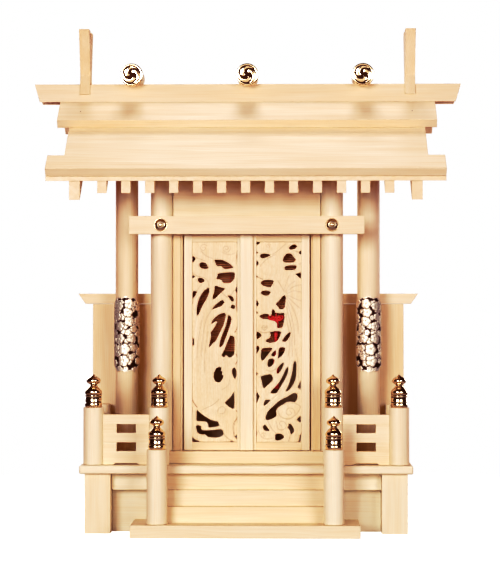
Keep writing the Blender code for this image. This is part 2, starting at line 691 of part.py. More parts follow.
def make_sleeves():
    """Openwork gilt sleeves wrapped round the front of the ridge pillars."""
    columns = 14
    inner_r = PILLAR_R + FIT
    middle_z = STAND_Z + SLEEVE_LIFT
    reach = 0.985
    for sign in (-1, 1):
        name = f"pillar_sleeve_{side_name(sign)}"
        bm = bmesh.new()
        bmesh.ops.create_grid(bm, x_segments=columns, y_segments=1, size=1.0)
        for vertex in bm.verts:
            share = vertex.co.x * reach
            turn = share * SLEEVE_WRAP
            height = middle_z + vertex.co.y * sleeve_half_height(share)
            vertex.co = (sign * PILLAR_X + inner_r * math.sin(turn), RIDGE_Y - inner_r * math.cos(turn), height)
        mesh = bpy.data.meshes.new(name)
        bm.to_mesh(mesh)
        bm.free()
        sleeve = add_piece(name, mesh, GILT)
        wall = sleeve.modifiers.new("wall", "SOLIDIFY")
        wall.thickness = SLEEVE_T
        wall.offset = 1.0
        holes = bmesh.new()
        rows = 3
        for row in range(rows):
            level = middle_z + (row - (rows - 1) / 2) * SLEEVE_HALF_H * 2 / (rows + 1)
            for turn in ((-66, -22, 22, 66) if row % 2 else (-44, 0, 44)):
                angle = math.radians(turn)
                if abs(level - middle_z) > sleeve_half_height(angle / SLEEVE_WRAP) - 2 * SLEEVE_HOLE_R:
                    continue
                aim = Matrix.Rotation(angle, 4, "Z") @ Matrix.Rotation(math.pi / 2, 4, "X")
                place = Matrix.Translation((sign * PILLAR_X, RIDGE_Y, level)) @ aim
                bmesh.ops.create_cone(holes, cap_ends=True, segments=5, radius1=SLEEVE_HOLE_R,
                                      radius2=SLEEVE_HOLE_R, depth=inner_r * 2,
                                      matrix=place @ Matrix.Translation((0, 0, inner_r * 1.4)))
        cutter = add_cutter(f"sleeve_openings_{side_name(sign)}", mesh_from("sleeve_openings", holes))
        combine(sleeve, cutter, "DIFFERENCE")


def make_beam():
    """A beam across the fronts of the columns, with a round gilt stud over each."""
    rear = COLUMN_Y - COLUMN_R - FIT
    front = rear - BEAM_T
    half = COLUMN_X + BEAM_OVERHANG
    add_piece("front_beam", box_mesh("front_beam", (-half, half), (front, rear), span_from(LINTEL_Z, BEAM_H)))
    profile = [(0.0, STUD_H), (STUD_R * 0.20, STUD_H), (STUD_R * 0.30, STUD_H * 0.72),
               (STUD_R * 0.52, STUD_H * 0.66), (STUD_R * 0.80, STUD_H * 0.36), (STUD_R, STUD_H * 0.22),
               (STUD_R, 0.0), (0.0, 0.0)]
    facing = Matrix.Rotation(math.pi / 2, 4, "X")
    for sign in (-1, 1):
        place = Matrix.Translation((sign * COLUMN_X, front - FIT, LINTEL_Z + BEAM_H / 2)) @ facing
        turned_piece(f"beam_stud_{side_name(sign)}", profile, GILT, CAP_SIDES, place)


def make_chamber():
    """The closed room behind the doors: floor, front wall with its doorway, side and rear walls."""
    tall = EAVE_TOP + EAVE_RUN
    column_cutters = []
    for sign in (-1, 1):
        side = side_name(sign)
        clearance = rod_mesh("column_clearance", (sign * COLUMN_X, COLUMN_Y, DECK_Z), COLUMN_R + FIT, tall)
        column_cutters.append(add_cutter(f"column_clearance_{side}", clearance))
    rear_wall_front = REAR_WALL_Y - REAR_WALL_T
    floor = add_piece("chamber_floor", box_mesh(
        "chamber_floor", (-SIDE_WALL_IN + FIT, SIDE_WALL_IN - FIT),
        (BASE_Y + SILL_BACK, rear_wall_front - FIT), (STAND_Z, FLOOR_TOP)))
    front_y = (COLUMN_Y - WALL_T / 2, COLUMN_Y + WALL_T / 2)
    foot = FLOOR_TOP + FIT
    arch = [(-JAMB_X, foot), (-DOORWAY_X, foot), (-DOORWAY_X, LINTEL_Z), (DOORWAY_X, LINTEL_Z),
            (DOORWAY_X, foot), (JAMB_X, foot), (JAMB_X, tall), (-JAMB_X, tall)]
    front = add_piece("front_wall", trim_under_rafters(flat_mesh("front_wall", [arch], front_y, "XZ")))
    for sign, cutter in zip((-1, 1), column_cutters):
        combine(floor, cutter, "DIFFERENCE")
        side = side_name(sign)
        name = f"side_wall_{side}"
        x_span = mirrored_span(sign, SIDE_WALL_IN, SIDE_WALL_OUT)
        wall = trim_under_rafters(box_mesh(name, x_span, (front_y[1] + FIT, REAR_WALL_Y), (STAND_Z, tall)))
        combine(add_piece(name, wall), cutter, "DIFFERENCE")
        hole_r = PIVOT_R + PIVOT_PLAY
        for holder, z in ((floor, FLOOR_TOP - PIVOT_L), (front, LINTEL_Z - PIVOT_L)):
            hole = rod_mesh("pivot_hole", (sign * PIVOT_X, COLUMN_Y, z), hole_r, 2 * PIVOT_L, sides=10)
            combine(holder, add_cutter(f"pivot_hole_{holder.name}_{side}", hole), "DIFFERENCE")
    rear_wall = box_mesh("rear_wall", (-SIDE_WALL_IN + FIT, SIDE_WALL_IN - FIT),
                         (rear_wall_front, REAR_WALL_Y), (STAND_Z, tall))
    add_piece("rear_wall", trim_under_rafters(rear_wall))


def make_blind():
    """A reed blind that hangs behind the doors from its head rail, with one red knotted tassel."""
    wall_rear = COLUMN_Y + WALL_T / 2
    head_z = LINTEL_Z + BLIND_HEAD_H / 2
    half = DOORWAY_X - BLIND_SIDE_GAP
    head = box_mesh("reed_blind", (-half, half), span_from(wall_rear + FIT, BLIND_HEAD_T),
                    span_from(head_z, BLIND_HEAD_H))
    blind = add_piece("reed_blind", head, REED)
    sheet_y = wall_rear + BLIND_GAP - BLIND_T
    sheet = box_mesh("blind_sheet", (-half + BITE, half - BITE), span_from(sheet_y, BLIND_T),
                     (head_z - BLIND_DROP, head_z + BITE))
    combine(blind, add_cutter("blind_sheet", sheet), "UNION")
    knot_z = LINTEL_Z - KNOT_DROP
    knot_y = sheet_y - TASSEL_FLAT + BITE / 3
    cord = box_mesh("tassel_cord", (KNOT_X - CORD_W / 2, KNOT_X + CORD_W / 2),
                    (knot_y, sheet_y + BITE / 2), (knot_z - KNOT_R, head_z + BITE))
    bm = bmesh.new()
    flat = TASSEL_FLAT / KNOT_R
    place = Matrix.Translation((KNOT_X, knot_y, knot_z)) @ Matrix.Diagonal((1.0, flat, 1.25, 1.0))
    bmesh.ops.create_uvsphere(bm, u_segments=10, v_segments=6, radius=KNOT_R, matrix=place)
    knot = mesh_from("tassel_knot", bm)
    bm = bmesh.new()
    place = Matrix.Translation((KNOT_X, knot_y, knot_z - KNOT_R - TASSEL_H / 2))
    place = place @ Matrix.Diagonal((1.0, TASSEL_FLAT / TASSEL_R, 1.0, 1.0))
    bmesh.ops.create_cone(bm, cap_ends=True, segments=8, radius1=TASSEL_R, radius2=TASSEL_R * 0.6,
                          depth=TASSEL_H, matrix=place)
    skirt = mesh_from("tassel_skirt", bm)
    for name, mesh in (("tassel_cord", cord), ("tassel_knot", knot), ("tassel_skirt", skirt)):
        combine(blind, add_cutter(name, mesh), "UNION")


def opening_outline(across, up, length, width, turn, bow, taper, shape):
    """The edge of one carved opening, as points in the drawing's units."""
    lean = math.radians(turn)
    flare, stretch = OPENING_SHAPES[shape]
    count = OPENING_POINTS if length > SHORT_OPENING else SHORT_OPENING_POINTS
    start = 0.5 if shape == "block" else 0.0
    points = []
    for step in range(count):
        angle = math.tau * (step + start) / count
        c, s = math.cos(angle), math.sin(angle)
        along = length / 2 * math.copysign(abs(c) ** stretch, c)
        aside = width / 2 * math.copysign(abs(s) ** flare, s) * (1 + taper * c)
        aside += bow * (1 - (2 * along / length) ** 2)
        u = across + along * math.cos(lean) - aside * math.sin(lean)
        v = up + along * math.sin(lean) + aside * math.cos(lean)
        points.append((u, v))
    return points


def relief_mesh(name, reliefs, origin, unit, face_y):
    """Low rounded forms that stand on the panel's face, as one mesh of separate domes."""
    bm = bmesh.new()
    for across, up, length, width, turn, height in reliefs:
        middle = (origin[0] + across * unit[0], face_y + BITE / 2, origin[1] + up * unit[1])
        size = (length * unit[0] / 2, height + BITE / 2, width * unit[0] / 2, 1.0)
        place = Matrix.Translation(middle) @ Matrix.Rotation(-math.radians(turn), 4, "Y") @ Matrix.Diagonal(size)
        bmesh.ops.create_uvsphere(bm, u_segments=RELIEF_SIDES, v_segments=4, radius=1.0,
                                  matrix=place @ Matrix.Rotation(math.pi / 2, 4, "X"))
    return mesh_from(name, bm)


def door_parent(side, sign):
    """The empty that a leaf turns about: its pivot line."""
    pivot = bpy.data.objects.new(f"{side}_door_pivot", None)
    pivot.location = (sign * PIVOT_X, COLUMN_Y, DOOR_Z)
    SHRINE.objects.link(pivot)
    return pivot


def hang_on(pivot, obj):
    """Parent a piece to its pivot without moving it."""
    bpy.context.view_layer.update()
    obj.parent = pivot
    obj.matrix_parent_inverse = pivot.matrix_world.inverted()


def make_doors():
    """Two leaves, each a frame with a carved openwork panel; the left one has the meeting bar."""
    front = COLUMN_Y - DOOR_T / 2
    rear = COLUMN_Y + DOOR_T / 2
    top = DOOR_Z + DOOR_H
    sight_z = (DOOR_Z + DOOR_FOOT_RAIL, top - DOOR_TOP_RAIL)
    panel_face = front + DOOR_LIP + FIT
    designs = {-1: (LEFT_OPENINGS, LEFT_RELIEFS), 1: (RIGHT_OPENINGS, RIGHT_RELIEFS)}
    for sign in (-1, 1):
        side = side_name(sign)
        pivot = door_parent(side, sign)
        leaf_x = mirrored_span(sign, DOOR_MEETING_GAP / 2, DOOR_EDGE)
        sight_x = mirrored_span(sign, DOOR_MEETING_GAP / 2 + DOOR_INNER_STILE, DOOR_EDGE - DOOR_OUTER_STILE)
        name = f"door_frame_{side}"
        outlines = [rectangle(leaf_x, (DOOR_Z, top)), rectangle(sight_x, sight_z)]
        frame = add_piece(name, flat_mesh(name, outlines, (front, rear), "XZ"))
        rebate_x = (sight_x[0] - PANEL_MARGIN - FIT, sight_x[1] + PANEL_MARGIN + FIT)
        rebate_z = (sight_z[0] - PANEL_MARGIN - FIT, sight_z[1] + PANEL_MARGIN + FIT)
        rebate = box_mesh("rebate", rebate_x, (front + DOOR_LIP, rear + DOOR_T), rebate_z)
        combine(frame, add_cutter(f"rebate_{side}", rebate), "DIFFERENCE")
        for end, z in (("foot", DOOR_Z - PIVOT_L + DOOR_CLEARANCE), ("head", top - BITE)):
            pin = rod_mesh("pin", (sign * PIVOT_X, COLUMN_Y, z), PIVOT_R, PIVOT_L - DOOR_CLEARANCE + BITE, sides=10)
            combine(frame, add_cutter(f"pin_{end}_{side}", pin), "UNION")
        hang_on(pivot, frame)
        openings, reliefs = designs[sign]
        unit = ((sight_x[1] - sight_x[0]) / DRAWING_W, (sight_z[1] - sight_z[0]) / DRAWING_H)
        edge = rectangle((sight_x[0] - PANEL_MARGIN, sight_x[1] + PANEL_MARGIN),
                         (sight_z[0] - PANEL_MARGIN, sight_z[1] + PANEL_MARGIN))
        outlines = [edge]
        for opening in openings:
            outlines.append([(sight_x[0] + u * unit[0], sight_z[0] + v * unit[1])
                             for u, v in opening_outline(*opening)])
        name = f"door_openwork_{side}"
        panel = add_piece(name, flat_mesh(name, outlines, (panel_face, panel_face + PANEL_T), "XZ"))
        domes = relief_mesh("relief", reliefs, (sight_x[0], sight_z[0]), unit, panel_face)
        combine(panel, add_cutter(f"relief_{side}", domes), "UNION")
        hang_on(pivot, panel)
        if sign < 0:
            bar = add_piece("door_meeting_bar", box_mesh(
                "door_meeting_bar", (-MEETING_BAR_W / 2, MEETING_BAR_W / 2),
                (front - FIT - MEETING_BAR_T, front - FIT), (DOOR_Z, top)))
            hang_on(pivot, bar)


def rake_ends(mesh, top_z, foot_z, half_top, half_foot):
    """Lean the outer ends of a long piece so that it is longer at its top than at its foot."""
    for vertex in mesh.vertices:
        share = (vertex.co.z - foot_z) / (top_z - foot_z)
        half = half_foot + (half_top - half_foot) * share
        if abs(vertex.co.x) > half_top - FIT:
            vertex.co.x = math.copysign(half, vertex.co.x)
    return mesh


def make_wings():
    """Low screens that run out from the chamber's sides, each with a raked cap."""
    top = STAND_Z + WING_H
    y = span_from(WING_Y, WING_T)
    middle = WING_Y + WING_T / 2
    cap_y = (middle - WING_CAP_T / 2, middle + WING_CAP_T / 2)
    cap_z = span_from(top + FIT, WING_CAP_H)
    inner = SIDE_WALL_OUT + FIT
    half_foot = WING_HALF_W + WING_CAP_OVERHANG
    half_top = half_foot + WING_CAP_RAKE
    for sign in (-1, 1):
        side = side_name(sign)
        name = f"wing_screen_{side}"
        add_piece(name, box_mesh(name, mirrored_span(sign, inner, WING_HALF_W), y, (STAND_Z, top)))
        name = f"wing_cap_{side}"
        cap = box_mesh(name, mirrored_span(sign, inner, half_top), cap_y, cap_z)
        add_piece(name, rake_ends(cap, cap_z[1], cap_z[0], half_top, half_foot))


def slope_section(sign, thickness, under, run):
    """Section of a board on one slope: mitred at the ridge, cut square at the eave.

    under is how far the board's top lies below the roof board's top, negative if above it.
    """
    top = RIDGE_TOP - under / math.cos(PITCH)
    foot = top - thickness / math.cos(PITCH)
    drop = run * math.tan(PITCH)
    edge = (sign * run, top - drop)
    heel = (sign * (run - thickness * math.sin(PITCH)), top - drop - thickness * math.cos(PITCH))
    ridge = sign * FIT / 2
    return [(RIDGE_Y + y, z) for y, z in ((ridge, top), edge, heel, (ridge, foot))]


def gable_section(top_depth, foot_depth, run, rear_run):
    """Section of a piece that lies under both slopes, with upright ends."""
    section = []
    for y in (-run, 0.0, rear_run):
        section.append((RIDGE_Y + y, roof_height(RIDGE_Y + y, top_depth)))
    for y in (rear_run, 0.0, -run):
        section.append((RIDGE_Y + y, roof_height(RIDGE_Y + y, foot_depth)))
    return section


def notch_mesh(sign):
    """The corner taken out of both slopes beside the broad eave strip, as one gable shape."""
    strip_run = EAVE_STRIP * math.cos(PITCH)
    run = EAVE_RUN - strip_run
    section = gable_section(-ROOF_T, RAFTER_FOOT_DEPTH, run, run)
    depth = (ROOF_T + RAFTER_FOOT_DEPTH) * math.sin(PITCH)
    for index, lean in ((3, -depth), (5, depth)):
        y, z = section[index]
        section[index] = (y + lean, z - depth * math.tan(PITCH))
    return flat_mesh("eave_notch", [section], mirrored_span(sign, ROOF_W / 2, 2 * EAVE_HALF_W), "YZ")


def make_roof():
    """Roof boards with broad eave strips, boards laid over them, and the rafters underneath."""
    notches = [add_cutter(f"eave_notch_{side_name(sign)}", notch_mesh(sign)) for sign in (-1, 1)]
    for sign, face, run in ((-1, "front", EAVE_RUN), (1, "rear", REAR_RUN)):
        name = f"roof_board_{face}"
        section = slope_section(sign, ROOF_T, 0.0, run)
        roof = add_piece(name, flat_mesh(name, [section], (-EAVE_HALF_W, EAVE_HALF_W), "YZ"))
        for notch in notches:
            combine(roof, notch, "DIFFERENCE")
        name = f"ridge_board_{face}"
        section = slope_section(sign, OVERLAY_T, -(OVERLAY_T + FIT), OVERLAY_RUN)
        add_piece(name, flat_mesh(name, [section], (-OVERLAY_HALF_W, OVERLAY_HALF_W), "YZ"))
    cut_back = ROOF_T * math.sin(PITCH)
    section = gable_section(ROOF_T + FIT, RAFTER_TOP_DEPTH, EAVE_RUN - cut_back, REAR_RUN - cut_back)
    rafters = add_piece("rafters", flat_mesh("rafters", [section], (-EAVE_HALF_W, EAVE_HALF_W), "YZ"))
    for notch in notches:
        combine(rafters, notch, "DIFFERENCE")
    runs = (EAVE_RUN - RAFTER_SETBACK, REAR_RUN - RAFTER_SETBACK)
    first = BARGE_X - BARGE_TO_RAFTER
    pitch = 2 * first / (RAFTER_COUNT - 1)
    places = [(index * pitch - first, RAFTER_W, RAFTER_D) for index in range(RAFTER_COUNT)]
    places += [(-BARGE_X, BARGE_W, BARGE_D), (BARGE_X, BARGE_W, BARGE_D)]
    bm = bmesh.new()
    for x, width, depth in places:
        section = gable_section(RAFTER_TOP_DEPTH - BITE, RAFTER_TOP_DEPTH + depth, *runs)
        bar = flat_mesh("rafter", [section], (x - width / 2, x + width / 2), "YZ")
        bm.from_mesh(bar)
        bpy.data.meshes.remove(bar)
    combine(rafters, add_cutter("rafter_bars", mesh_from("rafter_bars", bm)), "UNION")


def ridge_cap_section(clearance=0.0, grooved=True):
    """Section of the ridge cap, with a groove underneath that sits on the boards' peak."""
    top = CAP_TOP_Z + clearance
    foot = CAP_FOOT_Z - clearance
    half_top = RIDGE_CAP_TOP_HALF + clearance
    half_foot = RIDGE_CAP_FOOT_HALF + clearance
    groove = [(0.0, OVERLAY_TOP + FIT)] if grooved else []
    points = [(-half_foot, foot)] + groove + [(half_foot, foot), (half_top, top), (-half_top, top)]
    return [(RIDGE_Y + y, z) for y, z in points]


def chigi_outline(lean):
    """One arm of the crossed finial, cut level at both ends."""
    crossing = CAP_TOP_Z + CHIGI_CROSSING
    half = CHIGI_W / 2 / math.cos(CHIGI_LEAN)
    low, high = CAP_TOP_Z - CHIGI_FOOT, CAP_TOP_Z + CHIGI_RISE
    corners = []
    for z, side in ((low, -1), (low, 1), (high, 1), (high, -1)):
        corners.append((RIDGE_Y + lean * (z - crossing) * math.tan(CHIGI_LEAN) + side * half, z))
    return corners


def comma_outline(turn):
    """One comma of the three-comma crest: a round head and a tail that sweeps round the rim."""
    head_r = CREST_R * 0.23
    orbit = CREST_R * 0.36
    tail = CREST_R * 0.74
    outline = []
    for step in range(5):
        angle = math.radians(180 - 45 * step) + turn
        outline.append((orbit * math.cos(turn) + head_r * math.cos(angle),
                        orbit * math.sin(turn) + head_r * math.sin(angle)))
    for step in range(1, 4):
        angle = turn - math.radians(34 * step)
        radius = orbit + head_r + (tail - orbit - head_r) * step / 3
        outline.append((radius * math.cos(angle), radius * math.sin(angle)))
    for step in (2, 1):
        angle = turn - math.radians(34 * step)
        radius = (orbit - head_r * 0.2) + (tail - orbit) * step / 4
        outline.append((radius * math.cos(angle), radius * math.sin(angle)))
    return outline


def make_crest(name, x, front):
    """A gilt cap over a billet's end, with a rim and three raised commas."""
    bore = BILLET_R + FIT
    face_z = CREST_SKIRT
    profile = [(0.0, face_z), (CREST_R - CREST_RIM, face_z), (CREST_R - CREST_RIM * 0.7, face_z + CREST_RELIEF),
               (CREST_R, face_z + CREST_RELIEF * 0.5), (CREST_R, 0.0), (bore, 0.0),
               (bore, face_z - CREST_FACE_T), (0.0, face_z - CREST_FACE_T)]
    facing = Matrix.Rotation(math.pi / 2, 4, "X")
    place = Matrix.Translation((x, front + CREST_SKIRT, BILLET_Z)) @ facing
    crest = turned_piece(name, profile, GILT, BILLET_SIDES, place)
    bm = bmesh.new()
    for step in range(3):
        comma = flat_mesh("comma", [comma_outline(math.tau * step / 3 + math.pi / 2)],
                          (face_z - CREST_FACE_T / 2, face_z + CREST_RELIEF), "XY")
        bm.from_mesh(comma)
        bpy.data.meshes.remove(comma)
    bm.transform(place)
    combine(crest, add_cutter(f"commas_{name}", mesh_from("commas", bm)), "UNION")


def make_ridge():
    """The ridge cap, the crossed finials near its ends and the billets that lie across it."""
    half_top = RIDGE_CAP_HALF_W + RIDGE_CAP_RAKE
    cap = flat_mesh("ridge_cap", [ridge_cap_section()], (-half_top, half_top), "YZ")
    add_piece("ridge_cap", rake_ends(cap, CAP_TOP_Z, CAP_FOOT_Z, half_top, RIDGE_CAP_HALF_W))
    seat = add_cutter("ridge_cap_clearance", flat_mesh(
        "ridge_cap_clearance", [ridge_cap_section(FIT, grooved=False)], (-2 * half_top, 2 * half_top), "YZ"))
    for sign in (-1, 1):
        name = f"chigi_{side_name(sign)}"
        x_span = (sign * CHIGI_X - CHIGI_T / 2, sign * CHIGI_X + CHIGI_T / 2)
        cross = add_piece(name, flat_mesh(name, [chigi_outline(-1)], x_span, "YZ"))
        arm = flat_mesh("chigi_arm", [chigi_outline(1)], x_span, "YZ")
        combine(cross, add_cutter(f"chigi_arm_{side_name(sign)}", arm), "UNION")
        combine(cross, seat, "DIFFERENCE")
    for index, place in enumerate(("left", "middle", "right")):
        x = (index - 1) * BILLET_PITCH
        front = RIDGE_Y - BILLET_L / 2
        name = f"katsuogi_{place}"
        start = front + CREST_FACE_T + FIT
        billet = add_piece(name, rod_mesh(name, (x, start, BILLET_Z), BILLET_R, BILLET_L - CREST_FACE_T - FIT,
                                          axis="Y", sides=BILLET_SIDES))
        combine(billet, seat, "DIFFERENCE")
        make_crest(f"katsuogi_crest_{place}", x, front)


clear_scene()
SHRINE = new_collection("kamidana")
CUTTERS = new_collection("cutters")
make_base()
make_stairs()
make_deck()
make_posts()
make_railings()
make_columns()
make_sleeves()
make_beam()
make_chamber()
make_blind()
make_doors()
make_wings()
make_roof()
make_ridge()
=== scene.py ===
"""A household shrine in pale cypress, dressed for the eye around its fixed frame.

Every wooden piece is planed from the frame's own board, so the sizes stay the frame's. The
turned posts, gilt fittings, reed blind and carved door panels are modelled here in finer form.
"""

import math
import random

import bmesh
import bpy
from mathutils import Matrix, Vector
from mathutils.kdtree import KDTree


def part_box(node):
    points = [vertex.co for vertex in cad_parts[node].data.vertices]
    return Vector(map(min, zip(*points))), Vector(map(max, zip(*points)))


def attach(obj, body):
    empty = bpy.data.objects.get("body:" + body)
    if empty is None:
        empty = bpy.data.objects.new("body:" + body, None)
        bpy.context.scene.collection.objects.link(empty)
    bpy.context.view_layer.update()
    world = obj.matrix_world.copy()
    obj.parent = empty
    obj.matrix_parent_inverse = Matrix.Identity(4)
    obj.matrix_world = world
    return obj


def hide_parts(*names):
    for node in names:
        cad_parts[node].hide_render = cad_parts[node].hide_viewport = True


bl_info = {
    "name": "Household Shrine",
    "version": (1, 0, 0),
    "blender": (4, 5, 0),
    "location": "3D View > Sidebar > Shrine",
    "description": "Dresses a pale cypress household shrine around its fixed frame",
    "category": "Object",
}

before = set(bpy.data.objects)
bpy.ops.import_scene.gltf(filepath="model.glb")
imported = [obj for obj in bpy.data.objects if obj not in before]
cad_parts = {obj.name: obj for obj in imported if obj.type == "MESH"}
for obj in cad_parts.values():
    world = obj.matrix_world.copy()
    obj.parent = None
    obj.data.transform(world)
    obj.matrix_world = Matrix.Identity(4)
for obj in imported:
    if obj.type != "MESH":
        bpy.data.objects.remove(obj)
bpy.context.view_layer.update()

MM = 0.001
WELD = 1e-6
# Edges that turn by more than this are arrises, and are eased with a plane.
ARRIS_TURN = math.radians(28)
SMOOTH_TURN = math.radians(38)
FLAT_TURN = math.radians(0.6)
ROUND_STEPS = 64
WHITE = (1.0, 1.0, 1.0)
GROOVE_SHADE_COLOUR = (0.40, 0.13, 0.045)
NAIL_COLOUR = (0.20, 0.11, 0.07)
# Boards are set paler or deeper than the common tone by this much: the paler ones as their own colour, the
# deeper ones as painted shade on pieces that stand in shade.
PALE = -0.18
DEEP = 0.20
SIDES = {"left": -1, "right": 1}

# Turns a board so that its grain runs along Z, where the rings of the figure are drawn.
GRAIN_TURN = {
    "x": (0.0, -math.pi / 2, 0.0),
    "y": (math.pi / 2, 0.0, 0.0),
    "z": (0.0, 0.0, 0.0),
}


class ShrineWood(bpy.types.PropertyGroup):
    """The cypress boards and how they are planed."""

    light: bpy.props.FloatVectorProperty(
        name="Sapwood", description="Colour of the pale wood between the rings",
        subtype="COLOR", size=3, min=0.0, max=1.0, default=(0.96, 0.88, 0.67))
    dark: bpy.props.FloatVectorProperty(
        name="Latewood", description="Colour of the darker lines of the rings",
        subtype="COLOR", size=3, min=0.0, max=1.0, default=(0.82, 0.60, 0.32))
    ring: bpy.props.FloatProperty(
        name="Ring spacing", description="Distance between two year rings",
        unit="LENGTH", min=0.0003, max=0.01, default=0.0015, precision=4)
    roughness: bpy.props.FloatProperty(
        name="Roughness", description="Roughness of the planed face",
        subtype="FACTOR", min=0.0, max=1.0, default=0.5)
    arris: bpy.props.FloatProperty(
        name="Arris", description="Width that is eased off each edge of a board",
        unit="LENGTH", min=0.0, max=0.002, default=0.00035, precision=5)


class ShrineGilt(bpy.types.PropertyGroup):
    """The gilt fittings."""

    colour: bpy.props.FloatVectorProperty(
        name="Gilt", description="Colour of the polished gilding",
        subtype="COLOR", size=3, min=0.0, max=1.0, default=(0.95, 0.76, 0.52))
    # Painted shade: the colour that the marked recesses of the gilding are darkened to.
    recess: bpy.props.FloatVectorProperty(
        name="Recess", description="Colour of the darkened recesses",
        subtype="COLOR", size=3, min=0.0, max=1.0, default=(0.05, 0.022, 0.012))
    roughness: bpy.props.FloatProperty(
        name="Roughness", description="Roughness of the polished gilding",
        subtype="FACTOR", min=0.0, max=1.0, default=0.17)


class ShrineBlind(bpy.types.PropertyGroup):
    """The reed blind behind the doors."""

    pitch: bpy.props.FloatProperty(
        name="Reed pitch", description="Distance between the middles of two reeds",
        unit="LENGTH", min=0.001, max=0.01, default=0.0021, precision=4)
    reed: bpy.props.FloatVectorProperty(
        name="Reed", description="Colour of the split reeds",
        subtype="COLOR", size=3, min=0.0, max=1.0, default=(0.64, 0.31, 0.135))
    cord: bpy.props.FloatVectorProperty(
        name="Cord", description="Colour of the silk cord and tassel",
        subtype="COLOR", size=3, min=0.0, max=1.0, default=(0.86, 0.075, 0.065))


class ShrineCarving(bpy.types.PropertyGroup):
    """The carved openwork of the door panels."""

    mesh_step: bpy.props.FloatProperty(
        name="Mesh step", description="Spacing of the points that the relief is cut with",
        unit="LENGTH", min=0.0004, max=0.004, default=0.0009, precision=4)
    groove: bpy.props.FloatProperty(
        name="Groove depth", description="Depth of the engraved lines",
        unit="LENGTH", min=0.0, max=0.002, default=0.00055, precision=5)
    rounding: bpy.props.FloatProperty(
        name="Edge rounding", description="Width over which the wood falls away to an opening",
        unit="LENGTH", min=0.0002, max=0.004, default=0.0014, precision=4)


class ShrineStudio(bpy.types.PropertyGroup):
    """The camera and the soft lights."""

    distance: bpy.props.FloatProperty(
        name="Camera distance", description="Distance from the camera to the base's front",
        unit="LENGTH", min=0.5, max=10.0, default=2.1)
    lens: bpy.props.FloatProperty(
        name="Lens", description="Focal length of the camera",
        unit="CAMERA", min=20.0, max=400.0, default=127.43)
    key: bpy.props.FloatProperty(
        name="Key light", description="Power of the lamp at the front left",
        unit="POWER", min=0.0, max=500.0, default=33.5)
    fill: bpy.props.FloatProperty(
        name="Fill light", description="Power of the lamp at the front right",
        unit="POWER", min=0.0, max=500.0, default=20.0)
    top: bpy.props.FloatProperty(
        name="Top light", description="Power of the lamp above the roof",
        unit="POWER", min=0.0, max=500.0, default=15.5)
    back: bpy.props.FloatProperty(
        name="Back light", description="Power of each of the two lamps behind the shrine",
        unit="POWER", min=0.0, max=500.0, default=15.0)
    backdrop: bpy.props.FloatVectorProperty(
        name="Backdrop", description="Colour that the paper floor has for the lamps' light",
        subtype="COLOR", size=3, min=0.0, max=1.0, default=(0.52, 0.45, 0.39))


SETTINGS = {
    "shrine_wood": ShrineWood,
    "shrine_gilt": ShrineGilt,
    "shrine_blind": ShrineBlind,
    "shrine_carving": ShrineCarving,
    "shrine_studio": ShrineStudio,
}


class Tree:
    """A node tree while its nodes are being joined."""

    def __init__(self, owner):
        owner.use_nodes = True
        self.nodes = owner.node_tree.nodes
        self.links = owner.node_tree.links

    def feed(self, node, inputs):
        """Link or set the sockets of a node, each given by its name or its number."""
        for socket, value in inputs.items():
            if isinstance(value, bpy.types.NodeSocket):
                self.links.new(value, node.inputs[socket])
            else:
                node.inputs[socket].default_value = value

    def node(self, kind, inputs=None, **settings):
        made = self.nodes.new(kind)
        for key, value in settings.items():
            setattr(made, key, value)
        self.feed(made, inputs or {})
        return made

    def span(self, *values):
        """A value brought from one span to another: the value, low, high, new low, new high."""
        return self.node("ShaderNodeMapRange", dict(enumerate(values)), clamp=True).outputs[0]

    def ramp(self, factor, first, second, end=1.0):
        """A colour between two, of which the second is reached at the end."""
        made = self.node("ShaderNodeValToRGB", {"Fac": factor})
        low, high = made.color_ramp.elements
        low.color, high.color = opaque(first), opaque(second)
        high.position = end
        return made.outputs["Color"]


class Finish(Tree):
    """One procedural material while its nodes are being joined."""

    def __init__(self, name):
        self.material = bpy.data.materials.new(name)
        super().__init__(self.material)
        self.shader = self.nodes["Principled BSDF"]

    def coat(self, inputs):
        self.feed(self.shader, inputs)

    def math(self, operation, *values):
        return self.node("ShaderNodeMath", dict(enumerate(values)), operation=operation).outputs[0]

    def add(self, *vectors):
        return self.node("ShaderNodeVectorMath", dict(enumerate(vectors)), operation="ADD").outputs[0]

    def place(self, turn=(0.0, 0.0, 0.0)):
        source = self.node("ShaderNodeTexCoord").outputs["Object"]
        return self.node("ShaderNodeMapping", {"Vector": source, "Rotation": turn}).outputs[0]

    def attribute(self, name, output="Vector"):
        return self.node("ShaderNodeAttribute", attribute_name=name).outputs[output]

    def noise(self, place, scale, detail=2.0, output="Fac"):
        inputs = {"Vector": place, "Scale": scale, "Detail": detail}
        return self.node("ShaderNodeTexNoise", inputs).outputs[output]

    def streak(self, place, share, scale, detail=2.0, output="Fac"):
        """Noise that is drawn out along Z, the way that the fibres run."""
        drawn = self.node("ShaderNodeMapping", {"Vector": place, "Scale": (1.0, 1.0, share)}).outputs[0]
        return self.noise(drawn, scale, detail, output)

    def mix(self, factor, first, second):
        """Two colours mixed, by the sockets that the mix node keeps for colours."""
        return self.node("ShaderNodeMix", {0: factor, 6: first, 7: second}, data_type="RGBA").outputs[2]

    def bump(self, height, strength, distance):
        made = self.node("ShaderNodeBump", {"Strength": strength, "Distance": distance, "Height": height})
        self.coat({"Normal": made.outputs[0]})


def opaque(colour):
    return (*colour, 1.0)


def tinted(colour, share):
    return tuple(part * share for part in colour)


